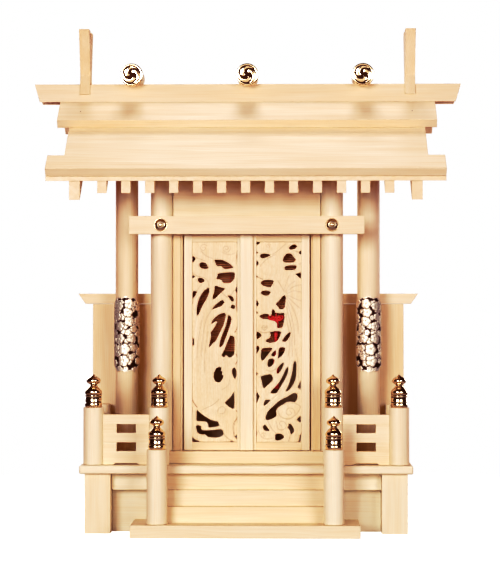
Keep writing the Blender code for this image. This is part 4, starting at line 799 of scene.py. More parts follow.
RIGHT_OPENINGS = (
    ((0.3, 214.1), (4.5, 214.1), (3.7, 213.3), (2, 211.6), (0.4, 211.4)),
    ((0.3, 203.8), (1.2, 203.5), (1.7, 202.8), (1.2, 201.8), (0.3, 202)),
    ((4.1, 199.5), (5.2, 201), (8.8, 201.7), (12.3, 201.2), (15.2, 200.1), (13.1, 198.7), (9.9, 197.5),
     (6.4, 196.6), (4.8, 197.5)),
    ((0.4, 194), (1.3, 193.6), (2.5, 191.3), (1.3, 189), (0.3, 188.8)),
    ((35.2, 207.8), (36.9, 210), (39.6, 211.3), (42.4, 211), (43.6, 209.6), (42.4, 207.7), (39.6, 206.3),
     (36.5, 206.1)),
    ((28.3, 194.4), (29.9, 198.3), (32.6, 201.6), (37.1, 201.6), (39.6, 198.7), (42, 196), (41.6, 193.5),
     (38.9, 192.2), (30.3, 192.2)),
    ((45.4, 202.8), (48.1, 204.9), (48.1, 200.7), (46.5, 201.6)),
    ((30, 187), (32.6, 188.6), (38.9, 189.1), (43.2, 188.7), (42.6, 185.8), (40.4, 184.3), (31, 184)),
    ((42, 180), (44.3, 180.2), (47.9, 181.8), (47.6, 174.5), (45.1, 177.2)),
    ((0.2, 178), (0.9, 177.9), (1.7, 176.9), (0.7, 176.1), (0.2, 176.5)),
    ((4.7, 169.8), (6.4, 172.6), (9.9, 173.4), (18.5, 173.2), (17.8, 169.5), (15.4, 165.7),
     (12.3, 165.9), (7.6, 167.5)),
    ((4.6, 159.9), (7.2, 161.7), (10.7, 162), (14.6, 161), (15.4, 160.2), (13.5, 157.4), (10.7, 156.6),
     (7.6, 157.4)),
    ((0.4, 151.7), (1.2, 151.4), (2.7, 147.6), (1.2, 145.4), (0.2, 146.1)),
    ((0.3, 139.4), (0.9, 139.4), (1.7, 138.4), (1.2, 137.5), (0.3, 137.5)),
    ((20.9, 147.5), (24, 150.7), (27.9, 155.4), (30.3, 157.4), (31.7, 154.6), (31, 149.2), (30.3, 144.1),
     (28.7, 142.3), (24.8, 142.3), (23.2, 145.3)),
    ((3.5, 134.4), (5.6, 136.3), (9.5, 137.1), (12.7, 136.7), (14.6, 134.7), (16.6, 136.3),
     (16.8, 139.8), (17.4, 142.2), (19.3, 141), (20.1, 138.2), (24.8, 137.5), (29.9, 138.4),
     (30.1, 133.6), (29.3, 127.3), (27.9, 122.7), (24.8, 122), (22.4, 122.3), (22.8, 125), (21.7, 128.1),
     (18.5, 130.1), (14.6, 130.5), (11.5, 131.9), (6.8, 131.9)),
    ((0.4, 118.4), (3.7, 116.8), (5.9, 114.1), (3.7, 111.7), (0.5, 109.9)),
    ((14.6, 117.6), (19.3, 118.6), (26.4, 118.4), (25.6, 114.1), (23.2, 109.4), (20.1, 107.1),
     (13.8, 106.3), (10.1, 107.8), (10.7, 109.4), (14.6, 111.3), (15.8, 114.1)),
    ((27.5, 107.8), (29.5, 111), (32.6, 114.9), (36.1, 117.7), (36.9, 116.4), (35, 111.7), (31.8, 107.4)),
    ((0.3, 102.8), (1.7, 102.6), (3.7, 100.5), (2.1, 97.3), (0.7, 94.8), (0.3, 95.4)),
    ((6, 100.1), (9.9, 100.7), (17.4, 100.8), (15.4, 97.3), (11.5, 92.3), (6.8, 86.8), (5.4, 88.4),
     (4.8, 93)),
    ((15.8, 92.9), (18.1, 96.2), (20.9, 98.5), (20.9, 94.6), (19.7, 91.5), (17.4, 91.9)),
    ((24.4, 100.8), (31, 101.5), (30.3, 96.9), (27.9, 93), (23.2, 89.1), (23.6, 93.8)),
    ((12.1, 84.5), (13.5, 88.4), (17, 89.5), (19.3, 88.2), (18.9, 84.5), (16.2, 81.3), (13.5, 80.3),
     (12.3, 81.7)),
    ((22.1, 77.4), (24, 81), (28.7, 85.4), (29.3, 83.3), (27.5, 78.2), (23.2, 72.8), (21.8, 74.7)),
    ((0.3, 74.7), (1.7, 72.9), (0.4, 71.4)),
    ((4.8, 70.6), (9.9, 71.6), (15.8, 72.8), (17.4, 68.9), (17.6, 66.1), (13.1, 61.8), (8.2, 57.3),
     (6.8, 60.3), (5.9, 65.7)),
    ((14.8, 52.3), (17.8, 56.4), (23.2, 61.8), (27.9, 69.6), (31, 76.7), (33.4, 80.2), (34.3, 79),
     (33.4, 72.8), (30.3, 66.5), (26.4, 60.3), (23.2, 54.8), (21.3, 52.1)),
    ((31.4, 55), (33.8, 58.7), (36.5, 66.5), (38.9, 75.9), (40, 84.5), (41.6, 87), (42.9, 84.5),
     (42.9, 75.9), (42, 67.3), (38.9, 60.3), (35, 55.6), (32.6, 54.5)),
    ((44.2, 58.3), (45.9, 61.8), (47.5, 66.1), (47.6, 56.4)),
    ((0.2, 53.7), (1.7, 51.7), (3.7, 49), (1.7, 45.1), (0.2, 41.2)),
    ((7.8, 39.6), (8.4, 42.7), (10.3, 45.6), (15.4, 44.8), (12.3, 41.6), (8.8, 39.1)),
    ((10.3, 23.5), (9.9, 27.5), (13.1, 33.8), (18.5, 38.4), (25.6, 44.8), (32.6, 48.2), (38.9, 52.1),
     (42, 52.5), (44.2, 50.5), (43.6, 45.5), (41.2, 42.5), (37.3, 43.5), (32.6, 43.1), (27.1, 39.6),
     (22.4, 36.9), (20.7, 33), (22.1, 28.3), (17, 24.8)),
    ((7, 15.8), (8.8, 18.8), (10.7, 17.4), (14.5, 11.8), (8.8, 12.3)),
    ((35.3, 20.1), (38.1, 18.2), (40.4, 13.5), (39.6, 10), (37.3, 7.9), (36.5, 11.1), (35, 14.3),
     (33.5, 15.7), (34.6, 17)),
    ((20.3, 8.8), (26.4, 9.2), (30.1, 5.7), (27.1, 2.6), (23.2, 1.8), (20.5, 2.2)),
    ((43, 24), (45.1, 26), (47.5, 28.5), (47.5, 21.1), (45.1, 22.2)),
    ((46.7, 8), (47.6, 8.2), (47.5, 0.4), (44.5, 0.4), (45.9, 1.8)),
    ((0.2, 10.8), (1.3, 9.2), (0.2, 8)),
)
# Engraved lines on each panel and lines along its edges, all darkened with painted shade: how deep and dark
# they are, and their points on the drawing.
LEFT_GROOVES = (
    (0.85, ((48.2, 214), (49.2, 211), (49.1, 205.7), (47.9, 203.8), (47.9, 195), (49, 191), (49.3, 182.7),
            (48.9, 175), (48.3, 168), (47.9, 160), (47.4, 148), (48.0, 140.6), (49.2, 136.7), (49.3, 126.5),
            (48.4, 121.9), (45.6, 117.2))),
    (0.8, ((47.2, 93.9), (49.2, 89.2), (48.4, 86.9), (46.4, 83))),
    (0.85, ((47.2, 33.8), (49.2, 31.5), (49.4, 28.4), (48, 25.3), (45.7, 22.2), (44.1, 17.4), (44.5, 11.2),
            (45.3, 5.8))),
    (0.85, ((-0.4, 62.7), (-0.6, 50.2), (0, 45.5), (2.4, 40.9), (5.5, 37))),
    (0.9, ((-0.2, 37.8), (-0.8, 25.3), (-1.2, 6.6))),
    (0.55, ((-0.2, 0.2), (20, 0), (48.6, 0.2))),
    (0.22, ((0.8, 214.3), (24, 214), (47.2, 214.3))),
    (0.3, ((9.5, 204.6), (12.5, 201), (16.5, 198.3), (22, 196.4))),
    (0.26, ((32.5, 203.2), (37, 200.8), (41.8, 200.6), (45.7, 202.4))),
    (0.3, ((0.8, 198.3), (6.3, 196.7), (13, 194))),
    (0.3, ((0.8, 180.4), (6.3, 177.2), (13.4, 175.7), (17.3, 171.8), (18.1, 167))),
    (0.32, ((10.2, 168.7), (6.3, 164), (2.6, 156), (0.4, 148))),
    (0.3, ((26.8, 166), (31.5, 159.9), (38.6, 153.7), (45.7, 163))),
    (0.3, ((20.5, 140.8), (16.5, 135), (14.2, 128.9), (12.2, 118), (10.8, 104), (9.8, 92))),
    (0.28, ((12, 135), (8.6, 122), (6.2, 106), (5.4, 90))),
    (0.28, ((16.8, 118), (14.4, 104), (13.4, 88), (13.6, 74))),
    (0.3, ((36.2, 101), (34, 96.5), (36.4, 91.6), (33.6, 87))),
    (0.26, ((31.5, 56), (36.2, 58.2), (39.4, 62), (40.4, 66.8))),
    (0.3, ((27, 33), (29, 37), (33, 38.4), (36.2, 35.2), (34, 30.4), (30, 30.2))),
    (0.4, ((33.9, 8.2), (37.8, 4.2), (41.7, 1.8))),
    (0.26, ((29, 46), (24, 41), (18, 37.6), (11, 34.6))))
RIGHT_GROOVES = (
    (0.5, ((-0.6, 0), (24, -0.2), (46.4, 0))),
    (0.9, ((48.6, 20), (48.9, 14), (48.5, 8.6))),
    (0.7, ((-0.4, 41.6), (-0.8, 28.3), (-0.1, 25.2), (-0.1, 10), (0, 0.4))),
    (0.25, ((4.5, 214.2), (24, 213.9), (48, 213.8))),
    (0.3, ((31.8, 212.4), (28.7, 209.2), (23.2, 204.6), (17.8, 200.7))),
    (0.3, ((20, 200.4), (12, 196.6), (6.6, 191.4), (4.1, 188))),
    (0.5, ((-1.4, 188.2), (-1.6, 181.9), (-0.2, 177.3), (6.8, 174.1))),
    (0.3, ((23.2, 172.6), (26.4, 167.1), (30.3, 160.1))),
    (0.3, ((46.4, 203.6), (41.7, 203.8))),
    (0.3, ((45.8, 190.2), (48.2, 191.4))),
    (0.26, ((29.5, 162), (32, 170), (35.7, 178.8))),
    (0.26, ((31, 161), (37, 169.6), (41.6, 172.2))),
    (0.26, ((32, 160), (40, 166.6), (48.2, 168.4))),
    (0.26, ((32.6, 158.8), (40, 162), (48, 160.4))),
    (0.28, ((33, 157.4), (41, 153.6), (47.8, 151))),
    (0.28, ((33, 155.8), (40.6, 148.6), (46.7, 143.2))),
    (0.28, ((33, 153.6), (40, 142), (44, 130), (45.4, 116))),
    (0.28, ((32.8, 150), (37.4, 136), (40.4, 120), (41.4, 104))),
    (0.28, ((32.4, 145), (35.8, 128.2), (38, 118), (38.6, 100), (38.4, 92))),
    (0.26, ((32, 137), (33.4, 125.7), (35.8, 114.3), (35.8, 103), (34.4, 92))),
    (0.35, ((2.1, 119.1), (7.6, 116.8), (14.6, 117.6))),
    (0.26, ((10.5, 77), (15.4, 75.4), (20.9, 78))),
    (0.26, ((27, 56), (20.9, 49.4), (14.6, 44.3))),
    (0.35, ((21.9, 37), (25, 27.1), (34.6, 23.8), (43, 29.5), (48, 38), (43, 41), (34.6, 42.8), (27, 40.2),
            (22, 36.6))),
    (0.3, ((12, 23), (16.5, 14.3), (21.2, 9.4))),
    (0.3, ((21, 22.4), (23, 13.6), (29, 13), (33, 17.4), (30, 22), (26, 22.6), (24.6, 19.6), (27, 17.2))),
    (0.5, ((36.4, 7.6), (35.8, 4), (34.4, 0.4))),
    (0.3, ((2.4, 12), (5.4, 5.4), (11, 3), (17, 4.2))),
    (0.3, ((36, 33.4), (38, 31), (36, 28.6), (32.8, 29.2), (31.4, 32.8), (34, 36.4), (39, 36.2), (41.6, 32),
            (40, 27.4))),
    (0.26, ((42, 100), (44.6, 84), (45, 68), (46.6, 56))))
# Engraved cloud curls: middle, radius, how many turns and which way they run.
LEFT_CURLS = ((12.2, 207.7, 4.2, 1.4, 1), (36.6, 207.2, 4.6, 1.6, -1))
RIGHT_CURLS = ((13.2, 209.6, 2.6, 1.3, 1), (8.4, 122.6, 3.4, 1.4, -1), (7.6, 7.2, 3.0, 1.3, 1))
# Raised forms: across, up, length, width and turn on the drawing, and their height in millimetres.
LEFT_SWELLS = (
    (36.6, 206.4, 13.0, 9.4, 0, 0.55), (12.4, 206.6, 13.0, 9.4, 0, 0.5), (15, 66, 58, 19, 84, 0.8),
    (31, 33, 15, 12, 0, 0.75), (9, 110, 74, 15, 82, 0.55), (22, 154, 46, 9, 62, 0.5),
    (6, 148, 42, 8, 76, 0.45), (40, 110, 70, 7, 78, 0.45), (30, 94, 30, 12, 60, 0.4))
RIGHT_SWELLS = (
    (13, 209, 13, 9, 0, 0.5), (13.6, 184.6, 20, 13, -8, 0.7), (40, 150, 60, 15, 84, 0.6),
    (9, 126, 17, 9, 0, 0.55), (34.6, 33, 25, 18, 0, 0.85), (27, 17, 15, 10.6, 0, 0.6),
    (8, 8, 15, 10, 0, 0.45), (16, 78, 34, 9, 60, 0.4), (32, 70, 60, 7, 62, 0.45), (43, 92, 60, 7, 82, 0.4),
    (16, 45, 52, 8, 44, 0.4))
# Gilt blossoms of a sleeve: across and up from the foot of its middle line, and radius, in millimetres.
BLOSSOMS = (
    (-7.9, 71.6, 4.4), (3.5, 74.2, 4.8), (2.2, 65.0, 4.8), (-8.9, 60.1, 3.6), (3.8, 55.4, 5.0),
    (-7.3, 49.9, 4.6), (8.6, 47.0, 3.8), (2.2, 43.0, 3.0), (6.0, 37.0, 4.6), (-6.7, 36.6, 4.6),
    (-1.9, 24.8, 5.6), (8.2, 26.2, 3.6), (-2.9, 12.5, 5.6), (6.6, 16.4, 3.2), (0.0, 3.6, 2.6),
    (-20.5, 62.0, 4.6), (-22.0, 48.0, 4.4), (-20.5, 35.0, 4.6), (-16.5, 22.0, 4.2), (20.5, 62.0, 4.6),
    (22.0, 48.0, 4.4), (20.5, 35.0, 4.6), (16.5, 22.0, 4.2), (15.0, 70.0, 3.6), (-15.4, 73.0, 3.0),
    (13.8, 56.0, 3.6), (-14.6, 55.6, 2.8), (14.6, 41.6, 3.0), (-14.4, 42.2, 2.8), (-11.6, 27.8, 2.8))


def pairs(points, closed):
    """Each point of a line with the next one."""
    return zip(points, points[1:] + points[:1] if closed else points[1:])


def eased(points, closed=True):
    """Cut the corners of a line twice over, so that it runs like a knife's stroke."""
    for _ in range(2):
        cut = [] if closed else [points[0]]
        for (u, v), (far_u, far_v) in pairs(points, closed):
            for share in (0.2, 0.8):
                cut.append((u + (far_u - u) * share, v + (far_v - v) * share))
        points = cut if closed else cut + [points[-1]]
    return points


def dotted(points, gap, closed=True):
    """Points a small gap apart along a line."""
    dots = []
    for (u, v), (far_u, far_v) in pairs(points, closed):
        count = max(1, math.ceil(math.hypot(far_u - u, far_v - v) / gap))
        dots += [(u + (far_u - u) * i / count, v + (far_v - v) * i / count) for i in range(count)]
    return dots


def curl(u, v, radius, turns, way):
    """The points of a spiral that winds in to its middle."""
    steps = int(turns * CURL_STEPS)
    points = []
    for step in range(steps + 1):
        share = step / steps
        angle = way * share * turns * math.tau + CURL_START
        reach = radius * (1 - CURL_REACH * share)
        points.append((u + reach * math.cos(angle), v + reach * math.sin(angle)))
    return points


def tree_of(points):
    tree = KDTree(len(points))
    for number, (u, v) in enumerate(points):
        tree.insert((u, v, 0.0), number)
    tree.balance()
    return tree


def add_spline(curve, kind, points, closed=True):
    """Run a spline of the curve through the points."""
    spline = curve.splines.new(kind)
    spline.points.add(len(points) - 1)
    for point, spot in zip(spline.points, points):
        point.co = (*spot, 1.0)
    spline.use_cyclic_u = closed
    return spline


def round_curve(name, radius):
    """A curve in space that is drawn as a round cord."""
    curve = bpy.data.curves.new(name, "CURVE")
    curve.dimensions = "3D"
    curve.bevel_depth = radius
    curve.bevel_resolution = 4
    return curve


def mesh_of(curve):
    """The mesh that a curve draws. The curve is used up."""
    holder = bpy.data.objects.new(curve.name, curve)
    bpy.context.scene.collection.objects.link(holder)
    bpy.context.view_layer.update()
    drawn = bpy.data.meshes.new_from_object(holder.evaluated_get(bpy.context.evaluated_depsgraph_get()))
    bpy.data.objects.remove(holder, do_unlink=True)
    bpy.data.curves.remove(curve)
    bm = empty_mesh()
    bm.from_mesh(drawn)
    bpy.data.meshes.remove(drawn)
    return bm


def fretted_sheet(edge, openings, step, place):
    """A flat sheet cut to its edge and openings, crossed by fine cuts so that relief can be drawn on it."""
    curve = bpy.data.curves.new("sheet", "CURVE")
    curve.dimensions = "2D"
    curve.fill_mode = "BOTH"
    for outline in (edge, *openings):
        add_spline(curve, "POLY", [(u, v, 0.0) for u, v in outline])
    bm = mesh_of(curve)
    bmesh.ops.remove_doubles(bm, verts=bm.verts[:], dist=SHEET_WELD)
    for axis in (1, 0):
        low = min(v.co[axis] for v in bm.verts)
        high = max(v.co[axis] for v in bm.verts)
        for number in range(1, math.ceil((high - low) / step)):
            bmesh.ops.bisect_plane(bm, geom=everything(bm), dist=SHEET_WELD / 2,
                                   plane_co=arrow(axis, low + number * step), plane_no=arrow(axis, 1.0))
    bm.transform(place)
    return bm


def thickened(bm, rear):
    """Give a fretted sheet its thickness, with a flat back at the given y."""
    made = bmesh.ops.extrude_face_region(bm, geom=bm.faces[:])["geom"]
    for vert in (part for part in made if isinstance(part, bmesh.types.BMVert)):
        vert.co.y = rear
    bmesh.ops.recalc_face_normals(bm, faces=bm.faces[:])


def looped_knot(centre, size):
    """A silk knot of three loops that cross in its middle, as a closed tube."""
    points = []
    for number in range(KNOT_POINTS):
        angle = math.tau * number / KNOT_POINTS
        reach = size * (0.42 + 0.62 * math.cos(3 * angle))
        points.append((centre.x + reach * math.sin(angle) * 0.96, centre.y + 0.0005 * math.sin(angle * 6),
                       centre.z - reach * math.cos(angle)))
    curve = round_curve("knot", KNOT_RADIUS)
    add_spline(curve, "NURBS", points).order_u = 4
    bm = mesh_of(curve)
    bmesh.ops.remove_doubles(bm, verts=bm.verts[:], dist=WELD)
    bmesh.ops.recalc_face_normals(bm, faces=bm.faces[:])
    return bm


class SHRINE_OT_stage(bpy.types.Operator):
    """Set the camera where the shrine was seen from, with a paper floor and soft lamps around it"""

    bl_idname = "shrine.stage"
    bl_label = "Studio"

    def execute(self, context):
        studio = context.scene.shrine_studio
        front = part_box("base_side_left")[0].y
        camera = bpy.data.objects.new("camera", bpy.data.cameras.new("camera"))
        camera.data.lens = studio.lens
        camera.data.sensor_width = SENSOR_WIDTH
        camera.location = (CAMERA_ACROSS, front - studio.distance, CAMERA_UP)
        camera.rotation_euler = CAMERA_TURN
        camera.data.clip_start = 0.05
        context.scene.collection.objects.link(camera)
        context.scene.camera = camera
        for name, (spot, aim, size, setting, colour) in LAMPS.items():
            light = bpy.data.lights.new(name, "AREA")
            light.shape = "RECTANGLE"
            light.size, light.size_y = size
            light.energy = getattr(studio, setting)
            light.color = colour
            lamp = bpy.data.objects.new(name, light)
            lamp.location = spot
            lamp.rotation_euler = (Vector(aim) - Vector(spot)).to_track_quat("-Z", "Y").to_euler()
            context.scene.collection.objects.link(lamp)
        self.paper(context)
        self.sky(context)
        context.scene.view_settings.view_transform = "Standard"
        self.film(context.scene.view_settings)
        context.scene.view_settings.gamma = VIEW_GAMMA
        return {"FINISHED"}

    def film(self, view):
        """Deepen the green and the blue of the shadows, as the photograph's warm shadows do."""
        view.use_curve_mapping = True
        for channel, spots in enumerate(FILM):
            curve = view.curve_mapping.curves[channel]
            for spot in spots:
                curve.points.new(*spot)
        view.curve_mapping.update()

    def paper(self, context):
        bm = bmesh.new()
        bmesh.ops.create_circle(bm, cap_ends=True, segments=96, radius=30.0)
        mesh = bpy.data.meshes.new("studio_paper")
        bm.to_mesh(mesh)
        bm.free()
        mesh.materials.append(finish_of("paper"))
        floor = bpy.data.objects.new("studio_paper", mesh)
        context.scene.collection.objects.link(floor)

    def sky(self, context):
        """White for the camera, a dim warm room for what lights the wood, and a dark one for gleams."""
        world = bpy.data.worlds.new("studio_room")
        context.scene.world = world
        room = Tree(world)
        seen = room.node("ShaderNodeLightPath").outputs
        spot = room.node("ShaderNodeTexCoord").outputs["Generated"]
        way = room.node("ShaderNodeSeparateXYZ", {0: spot}).outputs
        lit = room.nodes["Background"]
        room.feed(lit, {
            "Color": room.ramp(way["Z"], ROOM_FOOT, ROOM_CEILING, CEILING_START), "Strength": ROOM_POWER})
        turn = room.span(way["Y"], *MIRROR_TURN, 0.0, 1.0)
        gleam = room.node("ShaderNodeBackground", {"Color": room.ramp(turn, MIRROR_DARK, MIRROR_PALE)})
        paper = room.node("ShaderNodeBackground", {"Color": opaque(WHITE)})
        choice = room.node("ShaderNodeMixShader", {
            0: seen["Is Glossy Ray"], 1: lit.outputs[0], 2: gleam.outputs[0]})
        final = room.node("ShaderNodeMixShader", {
            0: seen["Is Camera Ray"], 1: choice.outputs[0], 2: paper.outputs[0]})
        room.feed(room.nodes["World Output"], {"Surface": final.outputs[0]})


class SHRINE_OT_base(bpy.types.Operator):
    """Plane the four boards of the base and the veranda's deck"""

    bl_idname = "shrine.base"
    bl_label = "Base and deck"

    def execute(self, context):
        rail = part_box("base_front_board")[1].z - BASE_RAIL
        # The recessed base board is set paler as painted light, lifting the shade under the deck.
        plane_board("base_front_board", "x", tone=-0.24, cuts=((rail, None, "x"), (None, rail, "x")))
        plane_board("base_rear_board", "x")
        for side in SIDES:
            plane_board(f"base_side_{side}", "z", tone=-0.12)
        plane_board("deck", "x", tone=PALE)
        return {"FINISHED"}


class SHRINE_OT_stairs(bpy.types.Operator):
    """Plane the stair's foot board and its three steps"""

    bl_idname = "shrine.stairs"
    bl_label = "Stairs"

    def execute(self, context):
        levels = sorted({round(v.co.z, 5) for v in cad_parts["stairs"].data.vertices})[1:-1]
        cuts = tuple((foot, head, "x") for foot, head in zip([None] + levels, levels + [None]))
        plane_board("stairs", "x", cuts=cuts, tone=0.05)
        return {"FINISHED"}


class SHRINE_OT_posts(bpy.types.Operator):
    """Turn the six veranda posts and their gilt onion caps"""

    bl_idname = "shrine.posts"
    bl_label = "Posts and caps"

    def execute(self, context):
        for side in SIDES:
            for place in POST_NAMES:
                self.post(f"{place}_post_{side}", f"{place}_cap_{side}")
                self.cap(f"{place}_cap_{side}")
        return {"FINISHED"}

    def post(self, node, cap):
        low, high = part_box(node)
        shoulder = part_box(cap)[0].z - CAP_GAP
        centre = middle(low, high)
        radius = (high.x - low.x) / 2
        arris = end_arris()
        bottom, top, tip = low.z - centre.z, shoulder - centre.z, high.z - centre.z
        profile = [(0.0, bottom), (radius - arris, bottom), (radius, bottom + arris), (radius, top - arris),
                   (radius - arris * 0.3, top - arris * 0.3), (radius - arris, top), (TENON, top),
                   (TENON, tip - arris), (TENON - arris, tip), (0.0, tip)]
        bm = turned(profile, centre)
        figure(bm, node, PALE)
        show(f"turned_{node}", bm, "cypress_z", nodes=(node,), smooth=True)

    def cap(self, node):
        low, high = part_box(node)
        centre = middle(low, high)
        centre.z = low.z
        bm = turned(in_metres(CAP_PROFILE), centre)
        # Painted shade in the cap's grooves and at its neck.
        for start, end, dullness_and_shade in CAP_SHADED_HOLLOWS:
            mark([v for v in bm.verts if start * MM < v.co.z - low.z < end * MM], bm, "recess", dullness_and_shade)
        show(f"gilt_{node}", bm, "gilt", nodes=(node,), smooth=True, turn=math.radians(50))


class SHRINE_OT_railings(bpy.types.Operator):
    """Plane the notched boards of the veranda's four railings and turn their rear posts"""

    bl_idname = "shrine.railings"
    bl_label = "Railings"

    def execute(self, context):
        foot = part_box("front_railing_left")[0].z
        lower, upper = (foot + level for level in RAIL_LEVELS)
        cuts = ((None, lower, "x"), (lower, upper, "x"), (upper, None, "x"))
        for side in SIDES:
            plane_board(f"front_railing_{side}", "x", width=RAIL_ARRIS, cuts=cuts)
            self.side_railing(f"side_railing_{side}", cuts)
        return {"FINISHED"}

    def side_railing(self, node, cuts):
        low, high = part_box(node)
        radius = (high.x - low.x) / 2
        end = high.y - radius - RAIL_END
        parts = []
        for number, (foot, head, _) in enumerate(cuts):
            part = sawn(board_from(node), (None, None, foot), (None, end, head))
            ease(part, RAIL_ARRIS)
            figure(part, f"{node} {number}")
            parts.append(part)
        centre = Vector(((low.x + high.x) / 2, high.y - radius, low.z))
        post = turned(rod_profile(radius, 0.0, high.z - low.z, end_arris()), centre)
        figure(post, node)
        clad(post, 1)
        show(f"planed_{node}", gather(parts + [post]), ("cypress_y", "cypress_z"), nodes=(node,),
             smooth=True, turn=math.radians(15))


class SHRINE_OT_pillars(bpy.types.Operator):
    """Turn the two front columns and the two pillars under the ridge"""

    bl_idname = "shrine.pillars"
    bl_label = "Columns and pillars"

    def execute(self, context):
        for side, sign in SIDES.items():
            round_bar(f"turned_front_column_{side}", f"front_column_{side}")
            # The left pillar is set darker as painted shade, the right one paler as painted light.
            round_bar(f"turned_ridge_pillar_{side}", f"ridge_pillar_{side}", tone=-0.04 - 0.12 * sign)
        return {"FINISHED"}


class SHRINE_OT_beam(bpy.types.Operator):
    """Plane the front beam and set its two gilt studs"""

    bl_idname = "shrine.beam"
    bl_label = "Beam and studs"

    def execute(self, context):
        plane_board("front_beam", "x")
        for side in SIDES:
            node = f"beam_stud_{side}"
            low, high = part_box(node)
            centre = middle(low, high)
            centre.y = high.y
            bm = turned(in_metres(STUD_PROFILE, -1), centre, "Y")
            # Painted shade in the stud's hollows near its middle.
            for start, end, dullness_and_shade in STUD_SHADED_HOLLOWS:
                mark([v for v in bm.verts if start * MM < high.y - v.co.y < end * MM
                      and (v.co - centre).length < STUD_GROUND], bm, "recess", dullness_and_shade)
            show(f"gilt_{node}", bm, "gilt", nodes=(node,), smooth=True)
        return {"FINISHED"}


class SHRINE_OT_chamber(bpy.types.Operator):
    """Plane the chamber's floor with its sill, the front wall with its jambs, and the other walls"""

    bl_idname = "shrine.chamber"
    bl_label = "Chamber"

    def execute(self, context):
        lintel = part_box("front_beam")[0].z
        plane_board("chamber_floor", "x", tone=0.0)
        # The front wall is set deeper, partly for its yellower colour and partly as painted shade on the
        # strips beside the doors.
        plane_board("front_wall", "x", tone=0.14, cuts=((lintel, None, "x"), (None, lintel, "z")))
        # The rear wall is set deeper as painted shade where it shows through the doors.
        plane_board("rear_wall", "z", tone=0.3)
        for side, sign in SIDES.items():
            plane_board(f"side_wall_{side}", "z")
            self.jamb_step(side, sign)
        return {"FINISHED"}

    def jamb_step(self, side, sign):
        """The stepped edge of a jamb beside the door, clear of the swing of the stile's back."""
        low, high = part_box(f"door_frame_{side}")
        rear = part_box("front_wall")[1].y
        parts = []
        # The jamb steps are set deeper as painted shade in the gap beside the door.
        for near, start, end in (
                (JAMB_FRONT, low.y + JAMB_REBATE, rear), (JAMB_REAR, rear, rear + JAMB_DEPTH)):
            left, right = sorted((sign * near, sign * JAMB_OUTER))
            parts.append(plank((left, start, low.z), (right, end, high.z), f"jamb {side}",
                               width=0.0001, tone=0.22))
        show(f"jamb_step_{side}", gather(parts), "cypress_z", nodes=())


class SHRINE_OT_doors(bpy.types.Operator):
    """Join the two door frames from stiles and rails, with their pivots and the meeting bar"""

    bl_idname = "shrine.doors"
    bl_label = "Door frames"

    def execute(self, context):
        for side, sign in SIDES.items():
            self.door(side, sign)
        plane_board("door_meeting_bar", "z", body="left_door", width=0.0006, tone=PALE)
        return {"FINISHED"}

    def door(self, side, sign):
        node = f"door_frame_{side}"
        low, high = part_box(node)
        foot, head = low.z + PIVOT_STUB, high.z - PIVOT_STUB
        inner, outer = sorted((abs(low.x), abs(high.x)))
        near, far = inner + MEETING_STILE, outer - HANGING_STILE
        width = bpy.context.scene.shrine_wood.arris
        parts = []
        for start, end, base, top, upright in (
                (inner, near, foot, head, True), (far, outer, foot, head, True),
                (near, far, head - HEAD_RAIL, head, False), (near, far, foot, foot + FOOT_RAIL, False)):
            left, right = sorted((sign * start, sign * end))
            tone = PALE if upright else 0.12
            board = plank((left, low.y, base), (right, high.y, top), f"{node} {len(parts)}", width, tone)
            clad(board, 1 if upright else 0)
            parts.append(board)
        for end in (low.z, head - PIVOT_ARRIS):
            place = (sign * (outer - PIVOT_INSET), middle(low, high).y, end)
            pin = turned(rod_profile(PIVOT_RADIUS, 0.0, PIVOT_LENGTH, PIVOT_ARRIS), place, steps=24)
            figure(pin, node)
            clad(pin, 1)
            parts.append(pin)
        show(f"joined_{node}", gather(parts), ("cypress_x", "cypress_z"), f"{side}_door", (node,))


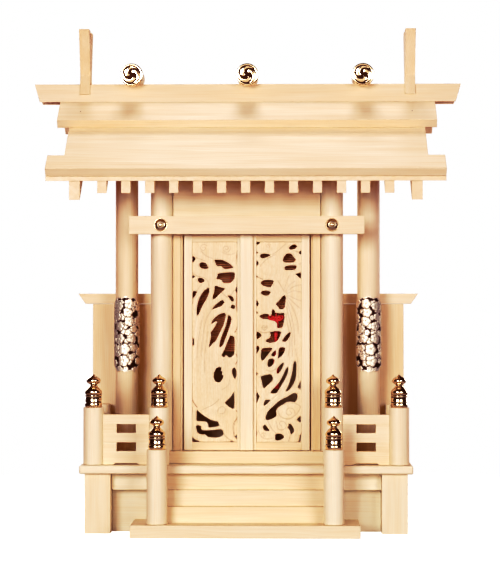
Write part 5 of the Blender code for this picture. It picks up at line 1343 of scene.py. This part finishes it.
class SHRINE_OT_openwork(bpy.types.Operator):
    """Carve the two door panels: pierce them, round the wood to the openings and engrave it"""

    bl_idname = "shrine.openwork"
    bl_label = "Door carving"

    def execute(self, context):
        self.panel("left", LEFT_OPENINGS, LEFT_GROOVES, LEFT_CURLS, LEFT_SWELLS)
        self.panel("right", RIGHT_OPENINGS, RIGHT_GROOVES, RIGHT_CURLS, RIGHT_SWELLS)
        return {"FINISHED"}

    def panel(self, side, openings, grooves, curls, swells):
        carving = bpy.context.scene.shrine_carving
        low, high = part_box(f"door_openwork_{side}")
        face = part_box(f"door_frame_{side}")[0].y + PANEL_INSET
        unit = (high.x - low.x - PANEL_TONGUE * 2) / DRAWING_W
        unit_up = (high.z - low.z - PANEL_TONGUE * 2) / DRAWING_H
        over, over_up = PANEL_TONGUE / unit, PANEL_TONGUE / unit_up
        edge = [(-over, -over_up), (DRAWING_W + over, -over_up), (DRAWING_W + over, DRAWING_H + over_up),
                (-over, DRAWING_H + over_up)]
        cut = [eased(list(outline)) for outline in openings]
        place = Matrix.Translation((low.x + PANEL_TONGUE, face, low.z + PANEL_TONGUE)) @ Matrix(
            ((unit, 0, 0, 0), (0, 0, 1, 0), (0, unit_up, 0, 0), (0, 0, 0, 1)))
        bm = fretted_sheet(edge, cut, carving.mesh_step / unit, place)
        rims = tree_of([dot for outline in cut for dot in dotted(outline, DOT_GAP)])
        lines, depths = [], []
        strokes = [(depth, eased(list(points), False)) for depth, points in grooves]
        strokes += [(CURL_DEPTH, curl(*form)) for form in curls]
        for depth, points in strokes:
            dots = dotted(points, DOT_GAP, False)
            lines += dots
            depths += [depth] * len(dots)
        knife = tree_of(lines)
        dark = bm.verts.layers.float["groove"]
        back = place.inverted()
        for vert in bm.verts:
            spot = back @ vert.co
            spot.z = 0.0
            near = rims.find(spot)[2] * unit
            fall = max(0.0, 1 - near / carving.rounding) ** 2
            _, number, gap = knife.find(spot)
            line = math.exp(-(gap * unit / KNIFE_WIDTH) ** 2)
            groove = line * carving.groove * min(1.0, depths[number] + 0.3)
            vert.co.y += -self.swell(spot, swells) * MM * 0.95 + fall * RIM_FALL + groove
            # Painted shade: dark along the engraved lines and edge lines, and a little where the wood falls
            # to an opening.
            vert[dark] = line * depths[number] + fall * 0.10
        thickened(bm, high.y)
        figure(bm, f"openwork {side}", tone=0.05)
        show(f"carved_openwork_{side}", bm, "cypress_carved_z", f"{side}_door", (f"door_openwork_{side}",),
             smooth=True, turn=math.radians(55))

    def swell(self, spot, swells):
        """How far the wood stands out at a spot of the drawing, in millimetres, fading at its edges."""
        rise = 0.0
        for u, v, length, width, turn, height in swells:
            lean = math.radians(turn)
            along = ((spot.x - u) * math.cos(lean) + (spot.y - v) * math.sin(lean)) * 2 / length
            aside = ((spot.y - v) * math.cos(lean) - (spot.x - u) * math.sin(lean)) * 2 / width
            rise = max(rise, height * max(0.0, 1 - along * along - aside * aside) ** 0.7)
        inside = min(spot.x, DRAWING_W - spot.x, spot.y, DRAWING_H - spot.y)
        return rise * min(1.0, max(0.0, inside / 2.0))


class SHRINE_OT_blind(bpy.types.Operator):
    """Weave the reed blind behind the doors, and hang its red cord, knot and tassel"""

    bl_idname = "shrine.blind"
    bl_label = "Reed blind and tassel"

    def execute(self, context):
        pitch = context.scene.shrine_blind.pitch
        low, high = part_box("reed_blind")
        head_foot = high.z - BLIND_HEAD
        sheet_y = low.y + BLIND_SHEET
        foot = head_foot - BLIND_DROP
        span = (low.x + 0.0006, high.x - 0.0006)
        parts = [plank((low.x, low.y, head_foot), (high.x, high.y, high.z), "blind head", width=0.0006)]
        for number in range(int((head_foot - foot) / pitch)):
            thick = 1.0 if number else 1.25
            parts.append(self.reed(span, (sheet_y, foot + pitch * (number + 0.5)), thick, number))
        for across in THREADS_ACROSS:
            for face in (-1, 1):
                parts.append(self.thread(across, sheet_y + face * THREAD_OFF, foot, head_foot))
        show("woven_blind", gather(parts), ("reed", "silk"), nodes=("reed_blind",),
             smooth=True, turn=math.radians(50))
        self.tassel(context, low, head_foot)
        return {"FINISHED"}

    def rod(self, radius, length, place):
        bm = empty_mesh()
        bmesh.ops.create_cone(bm, cap_ends=True, segments=8, radius1=radius, radius2=radius, depth=length,
                              matrix=place)
        return bm

    def reed(self, span, spot, thick, number):
        flat = Matrix.Diagonal((1.0, 0.8 * thick, 1.0, 1.0)) @ Matrix.Rotation(math.pi / 2, 4, "Y")
        place = Matrix.Translation((middle(*span), *spot)) @ flat
        bm = self.rod(REED_RADIUS, span[1] - span[0], place)
        figure(bm, f"reed {number}")
        return bm

    def thread(self, across, y, foot, head):
        bm = self.rod(THREAD_RADIUS, head - foot, Matrix.Translation((across, y, middle(foot, head))))
        clad(bm, 1)
        return bm

    def tassel(self, context, low, head_foot):
        """A limp silk cord from the blind's head, through a looped knot and on down the tassel's middle."""
        centre = Vector((CORD_ACROSS, low.y + CORD_BEHIND, KNOT_LEVEL))
        knot = gather([looped_knot(centre, size) for size in KNOT_SIZES])
        knot_piece = show("silk_knot", knot, "silk", smooth=True, nodes=("reed_blind",))
        skirt = turned(in_metres(TASSEL_PROFILE, -1), (0.0, 0.0, 0.0), steps=40)
        for vert in skirt.verts:
            if vert.co.z < -0.012 and math.hypot(vert.co.x, vert.co.y) > 0.0005:
                vert.co.xy *= 1 + 0.09 * math.cos(math.atan2(vert.co.y, vert.co.x) * TASSEL_FOLDS)
        skirt.transform(Matrix.Translation(centre - arrow(2, TASSEL_UNDER)) @ Matrix.Diagonal(
            (1.0, TASSEL_FLAT, 1.0, 1.0)))
        bmesh.ops.recalc_face_normals(skirt, faces=skirt.faces[:])
        skirt_piece = show("silk_tassel", skirt, "silk", smooth=True,
                           nodes=("reed_blind",))
        top = head_foot - 0.0002
        end = KNOT_LEVEL - CORD_END
        route = [(CORD_ACROSS + 0.00025 * math.sin(i * 0.4), low.y + CORD_BEHIND,
                  top + (end - top) * i / CORD_POINTS) for i in range(CORD_POINTS + 1)]
        curve = round_curve("silk_cord", CORD_RADIUS)
        curve.use_fill_caps = True
        add_spline(curve, "POLY", route, closed=False)
        curve.materials.append(finish_of("silk"))
        cord = bpy.data.objects.new("silk_cord", curve)
        context.scene.collection.objects.link(cord)
        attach(cord, "shrine")
        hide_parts("reed_blind")


class SHRINE_OT_sleeves(bpy.types.Operator):
    """Press the gilt blossom sleeves and wrap them round the two ridge pillars"""

    bl_idname = "shrine.sleeves"
    bl_label = "Pillar sleeves"

    def execute(self, context):
        for side, sign in SIDES.items():
            self.sleeve(side, sign)
        return {"FINISHED"}

    def half_height(self, share, half):
        """Half height of the sleeve at a share of its wrap: a long rounded shield with lobes."""
        shield = (1 - abs(share) ** 2.6) ** 0.5
        return half * shield - 0.0017 * (1 - math.cos(math.tau * 3 * share)) / 2 * shield

    def sleeve(self, side, sign):
        node = f"pillar_sleeve_{side}"
        low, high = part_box(node)
        pillar_low, pillar_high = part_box(f"ridge_pillar_{side}")
        centre = middle(pillar_low, pillar_high)
        bore = (pillar_high.x - pillar_low.x) / 2 + 0.0003
        outer = (high.x - low.x) / 2
        wrap = math.acos(-(high.y - centre.y) / outer)
        half = (high.z - low.z) / 2 / MM
        reach = wrap * UNROLLED
        edge = []
        for way in (1, -1):
            for step in range(EDGE_STEPS + 1):
                share = way * (-0.985 + 1.97 * step / EDGE_STEPS)
                edge.append((reach * share, half + way * self.half_height(share, half * MM) / MM))
        bm = fretted_sheet(edge, (), PRESS_STEP, Matrix.Identity(4))
        rim = tree_of(dotted(edge, 0.3))
        recess = bm.verts.layers.float["recess"]
        flowers = self.flowers(sign)
        for vert in bm.verts:
            heights = (self.petals(vert.co.x - u, vert.co.y - v, radius) for u, v, radius in flowers)
            rise = next((height for height in heights if height is not None), 0.0)
            near = rim.find((vert.co.x, vert.co.y, 0.0))[2]
            if near < 1.1:
                rise = max(rise, 0.9 * min(1.0, (1.3 - near) * 2.4))
            rise = max(0.0, min(1.0, rise))
            # Painted shade: the lower the pressed sheet lies, between and inside the blossoms, the darker it
            # is marked.
            vert[recess] = min(1.0, max(0.0, 1.12 - rise * 2.1))
            vert.co.z = rise
        made = bmesh.ops.extrude_face_region(bm, geom=bm.faces[:])["geom"]
        rear = {part for part in made if isinstance(part, bmesh.types.BMVert)}
        ground = bore + 0.00035
        for vert in bm.verts:
            radius = bore if vert in rear else ground + (outer - ground) * vert.co.z
            angle = vert.co.x / UNROLLED
            vert.co = (centre.x + radius * math.sin(angle), centre.y - radius * math.cos(angle),
                       low.z + vert.co.y * MM)
        bmesh.ops.recalc_face_normals(bm, faces=bm.faces[:])
        show(f"gilt_{node}", bm, "gilt_pressed", nodes=(node,), smooth=True,
             turn=math.radians(60))

    def flowers(self, sign):
        """Every blossom of an unrolled sleeve: those that were read, and an uneven filling behind them."""
        flowers = []
        for across, up, radius in BLOSSOMS:
            if abs(across) < UNROLLED:
                across = UNROLLED * math.asin(sign * -across / READ_AT)
            flowers.append((across, up, radius * BLOSSOM_GROWTH))
        for row in range(11):
            for column in range(-3, 4):
                aside = 1.5 * math.sin(5.1 * row + 3.3 * column + sign)
                above = 1.2 * math.sin(2.7 * row + 4.9 * column)
                wider = 0.8 * math.sin(7.7 * row + 1.9 * column + sign)
                flowers.append((FILL_ACROSS * (column + row % 2 / 2) + aside, FILL_UP * row + 3.0 + above,
                                FILL_RADIUS + wider))
        return flowers

    def petals(self, across, up, radius):
        """Height of a blossom at a spot: five lobes with a hollow heart and veins, or None outside it."""
        away = math.hypot(across, up) / radius
        angle = math.atan2(up, across)
        share = away / (1.0 - 0.13 * (1 - math.cos(5 * angle)) / 2)
        if share >= 1.0:
            return None
        heart = 0.62 * math.exp(-(away / 0.13) ** 2)
        vein = 0.42 * max(0.0, math.cos(5 * angle + math.pi)) ** 12 * min(1.0, away * 1.6)
        return min(1.0, (1 - share) * 5.5) - heart - vein


class SHRINE_OT_crests(bpy.types.Operator):
    """Press the gilt end caps of the billets, each with a rim and three commas on a sunken ground painted
    dark as shade
    """

    bl_idname = "shrine.crests"
    bl_label = "Billet crests"

    def execute(self, context):
        for place in BILLETS:
            node = f"katsuogi_crest_{place}"
            low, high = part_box(node)
            centre = middle(low, high)
            centre.y = low.y
            cup = turned(in_metres(CREST_PROFILE), centre, "Y")
            # Painted shade: the sunken ground inside the rim is marked fully dark.
            ground = [v for v in cup.verts if v.co.y < centre.y + CREST_DEPTH
                      and math.hypot(v.co.x - centre.x, v.co.z - centre.z) < CREST_GROUND]
            mark(ground, cup, "recess", 1.0)
            commas = [self.comma(centre, math.radians(COMMA_START + 120 * turn)) for turn in range(3)]
            show(f"gilt_{node}", gather([cup] + commas), "gilt", nodes=(node,),
                 smooth=True)
        return {"FINISHED"}

    def comma(self, centre, start):
        """A round head whose tail thins as it sweeps along the rim."""
        spine = []
        for step in range(COMMA_STEPS + 1):
            share = step / COMMA_STEPS
            spine.append((start - COMMA_SWEEP * share, COMMA_PLACE + COMMA_DRIFT * share ** 0.6,
                          COMMA_RADIUS * (1 - share) ** 0.5))
        outer = [((r + w) * math.cos(a), (r + w) * math.sin(a)) for a, r, w in spine]
        inner = [((r - w) * math.cos(a), (r - w) * math.sin(a)) for a, r, w in reversed(spine[:-1])]
        head = []
        for step in range(1, 10):
            angle = start + math.pi - math.pi * step / 10
            head.append((COMMA_PLACE * math.cos(start) + COMMA_RADIUS * math.cos(angle),
                         COMMA_PLACE * math.sin(start) + COMMA_RADIUS * math.sin(angle)))
        bm = empty_mesh()
        verts = [bm.verts.new((centre.x + x * MM, centre.y + COMMA_FOOT, centre.z + z * MM))
                 for x, z in outer + inner + head]
        face = bm.faces.new(verts)
        made = bmesh.ops.extrude_face_region(bm, geom=[face])["geom"]
        top = [part for part in made if isinstance(part, bmesh.types.BMVert)]
        bmesh.ops.translate(bm, verts=top, vec=(0.0, -COMMA_HEIGHT, 0.0))
        bmesh.ops.recalc_face_normals(bm, faces=bm.faces[:])
        round_over(bm, [e for e in bm.edges if all(v in top for v in e.verts)], COMMA_ARRIS)
        return bm


class SHRINE_OT_wings(bpy.types.Operator):
    """Plane the two wing screens and the raked caps on them"""

    bl_idname = "shrine.wings"
    bl_label = "Wing screens"

    def execute(self, context):
        for side in SIDES:
            # The wing screens are set deeper as painted shade, lying behind the pillars.
            plane_board(f"wing_screen_{side}", "z", tone=DEEP)
            plane_board(f"wing_cap_{side}", "x")
        return {"FINISHED"}


class SHRINE_OT_roof(bpy.types.Operator):
    """Plane the roof boards, the ridge boards, and the rafters with their lining"""

    bl_idname = "shrine.roof"
    bl_label = "Roof"

    def execute(self, context):
        for place in ("front", "rear"):
            plane_board(f"roof_board_{place}", "x", width=0.0006)
            plane_board(f"ridge_board_{place}", "x", width=0.0005)
        plane_board("rafters", "y", width=0.0003, tone=0.08)
        self.nails()
        return {"FINISHED"}

    def nails(self):
        """The heads of the nails that hold the upper boards near their ends."""
        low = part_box("ridge_board_front")[0]
        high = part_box("ridge_board_rear")[1]
        parts = []
        for x in NAILS_ACROSS:
            for y, lean in ((low.y + NAIL_INSET, ROOF_LEAN), (high.y - NAIL_INSET, -ROOF_LEAN)):
                head = turned(in_metres(NAIL_PROFILE), (0.0, 0.0, 0.0), steps=16)
                head.transform(Matrix.Translation((x, y, NAIL_LEVEL)) @ Matrix.Rotation(lean, 4, "X"))
                parts.append(head)
        show("board_nails", gather(parts), "nail", smooth=True)


class SHRINE_OT_ridge(bpy.types.Operator):
    """Plane the ridge cap and the crossed finials, and turn the billets across the ridge"""

    bl_idname = "shrine.ridge"
    bl_label = "Ridge, finials and billets"

    def execute(self, context):
        plane_board("ridge_cap", "x", width=0.0005)
        for side in SIDES:
            # The crossed finials are set deeper as painted shade on their forward-leaning faces.
            plane_board(f"chigi_{side}", "z", width=0.0005, tone=DEEP)
        for place in BILLETS:
            round_bar(f"turned_katsuogi_{place}", f"katsuogi_{place}", "Y")
        return {"FINISHED"}


STEPS = (
    SHRINE_OT_stage, SHRINE_OT_base, SHRINE_OT_stairs, SHRINE_OT_posts, SHRINE_OT_railings, SHRINE_OT_pillars,
    SHRINE_OT_beam, SHRINE_OT_chamber, SHRINE_OT_doors, SHRINE_OT_openwork, SHRINE_OT_blind, SHRINE_OT_wings,
    SHRINE_OT_sleeves, SHRINE_OT_roof, SHRINE_OT_ridge, SHRINE_OT_crests)


class SHRINE_PT_steps(bpy.types.Panel):
    """Lists the settings and the steps that dress the shrine"""

    bl_idname = "SHRINE_PT_steps"
    bl_label = "Household Shrine"
    bl_space_type = "VIEW_3D"
    bl_region_type = "UI"
    bl_category = "Shrine"

    def draw(self, context):
        for name, kind in SETTINGS.items():
            box = self.layout.box()
            box.label(text=name.replace("_", " ").capitalize())
            for entry in kind.__annotations__:
                box.prop(getattr(context.scene, name), entry)
        for step in STEPS:
            self.layout.operator(step.bl_idname)


def register():
    for kind in (*SETTINGS.values(), *STEPS, SHRINE_PT_steps):
        bpy.utils.register_class(kind)
    for name, kind in SETTINGS.items():
        setattr(bpy.types.Scene, name, bpy.props.PointerProperty(type=kind))


def unregister():
    for name in SETTINGS:
        delattr(bpy.types.Scene, name)
    for kind in reversed((*SETTINGS.values(), *STEPS, SHRINE_PT_steps)):
        bpy.utils.unregister_class(kind)


def give_plain_finish():
    """Any node of the frame that still shows gets the finish of its slot."""
    for name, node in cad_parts.items():
        if not node.hide_render:
            gilt = "_cap_" in name or name.startswith(("beam_stud", "katsuogi_crest", "pillar_sleeve"))
            plain = "reed" if name == "reed_blind" else "cypress_z"
            node.data.materials.clear()
            node.data.materials.append(finish_of("gilt" if gilt else plain))


def main():
    register()
    for step in STEPS:
        place, name = step.bl_idname.split(".")
        getattr(getattr(bpy.ops, place), name)()
    give_plain_finish()


if __name__ == "__main__":
    main()
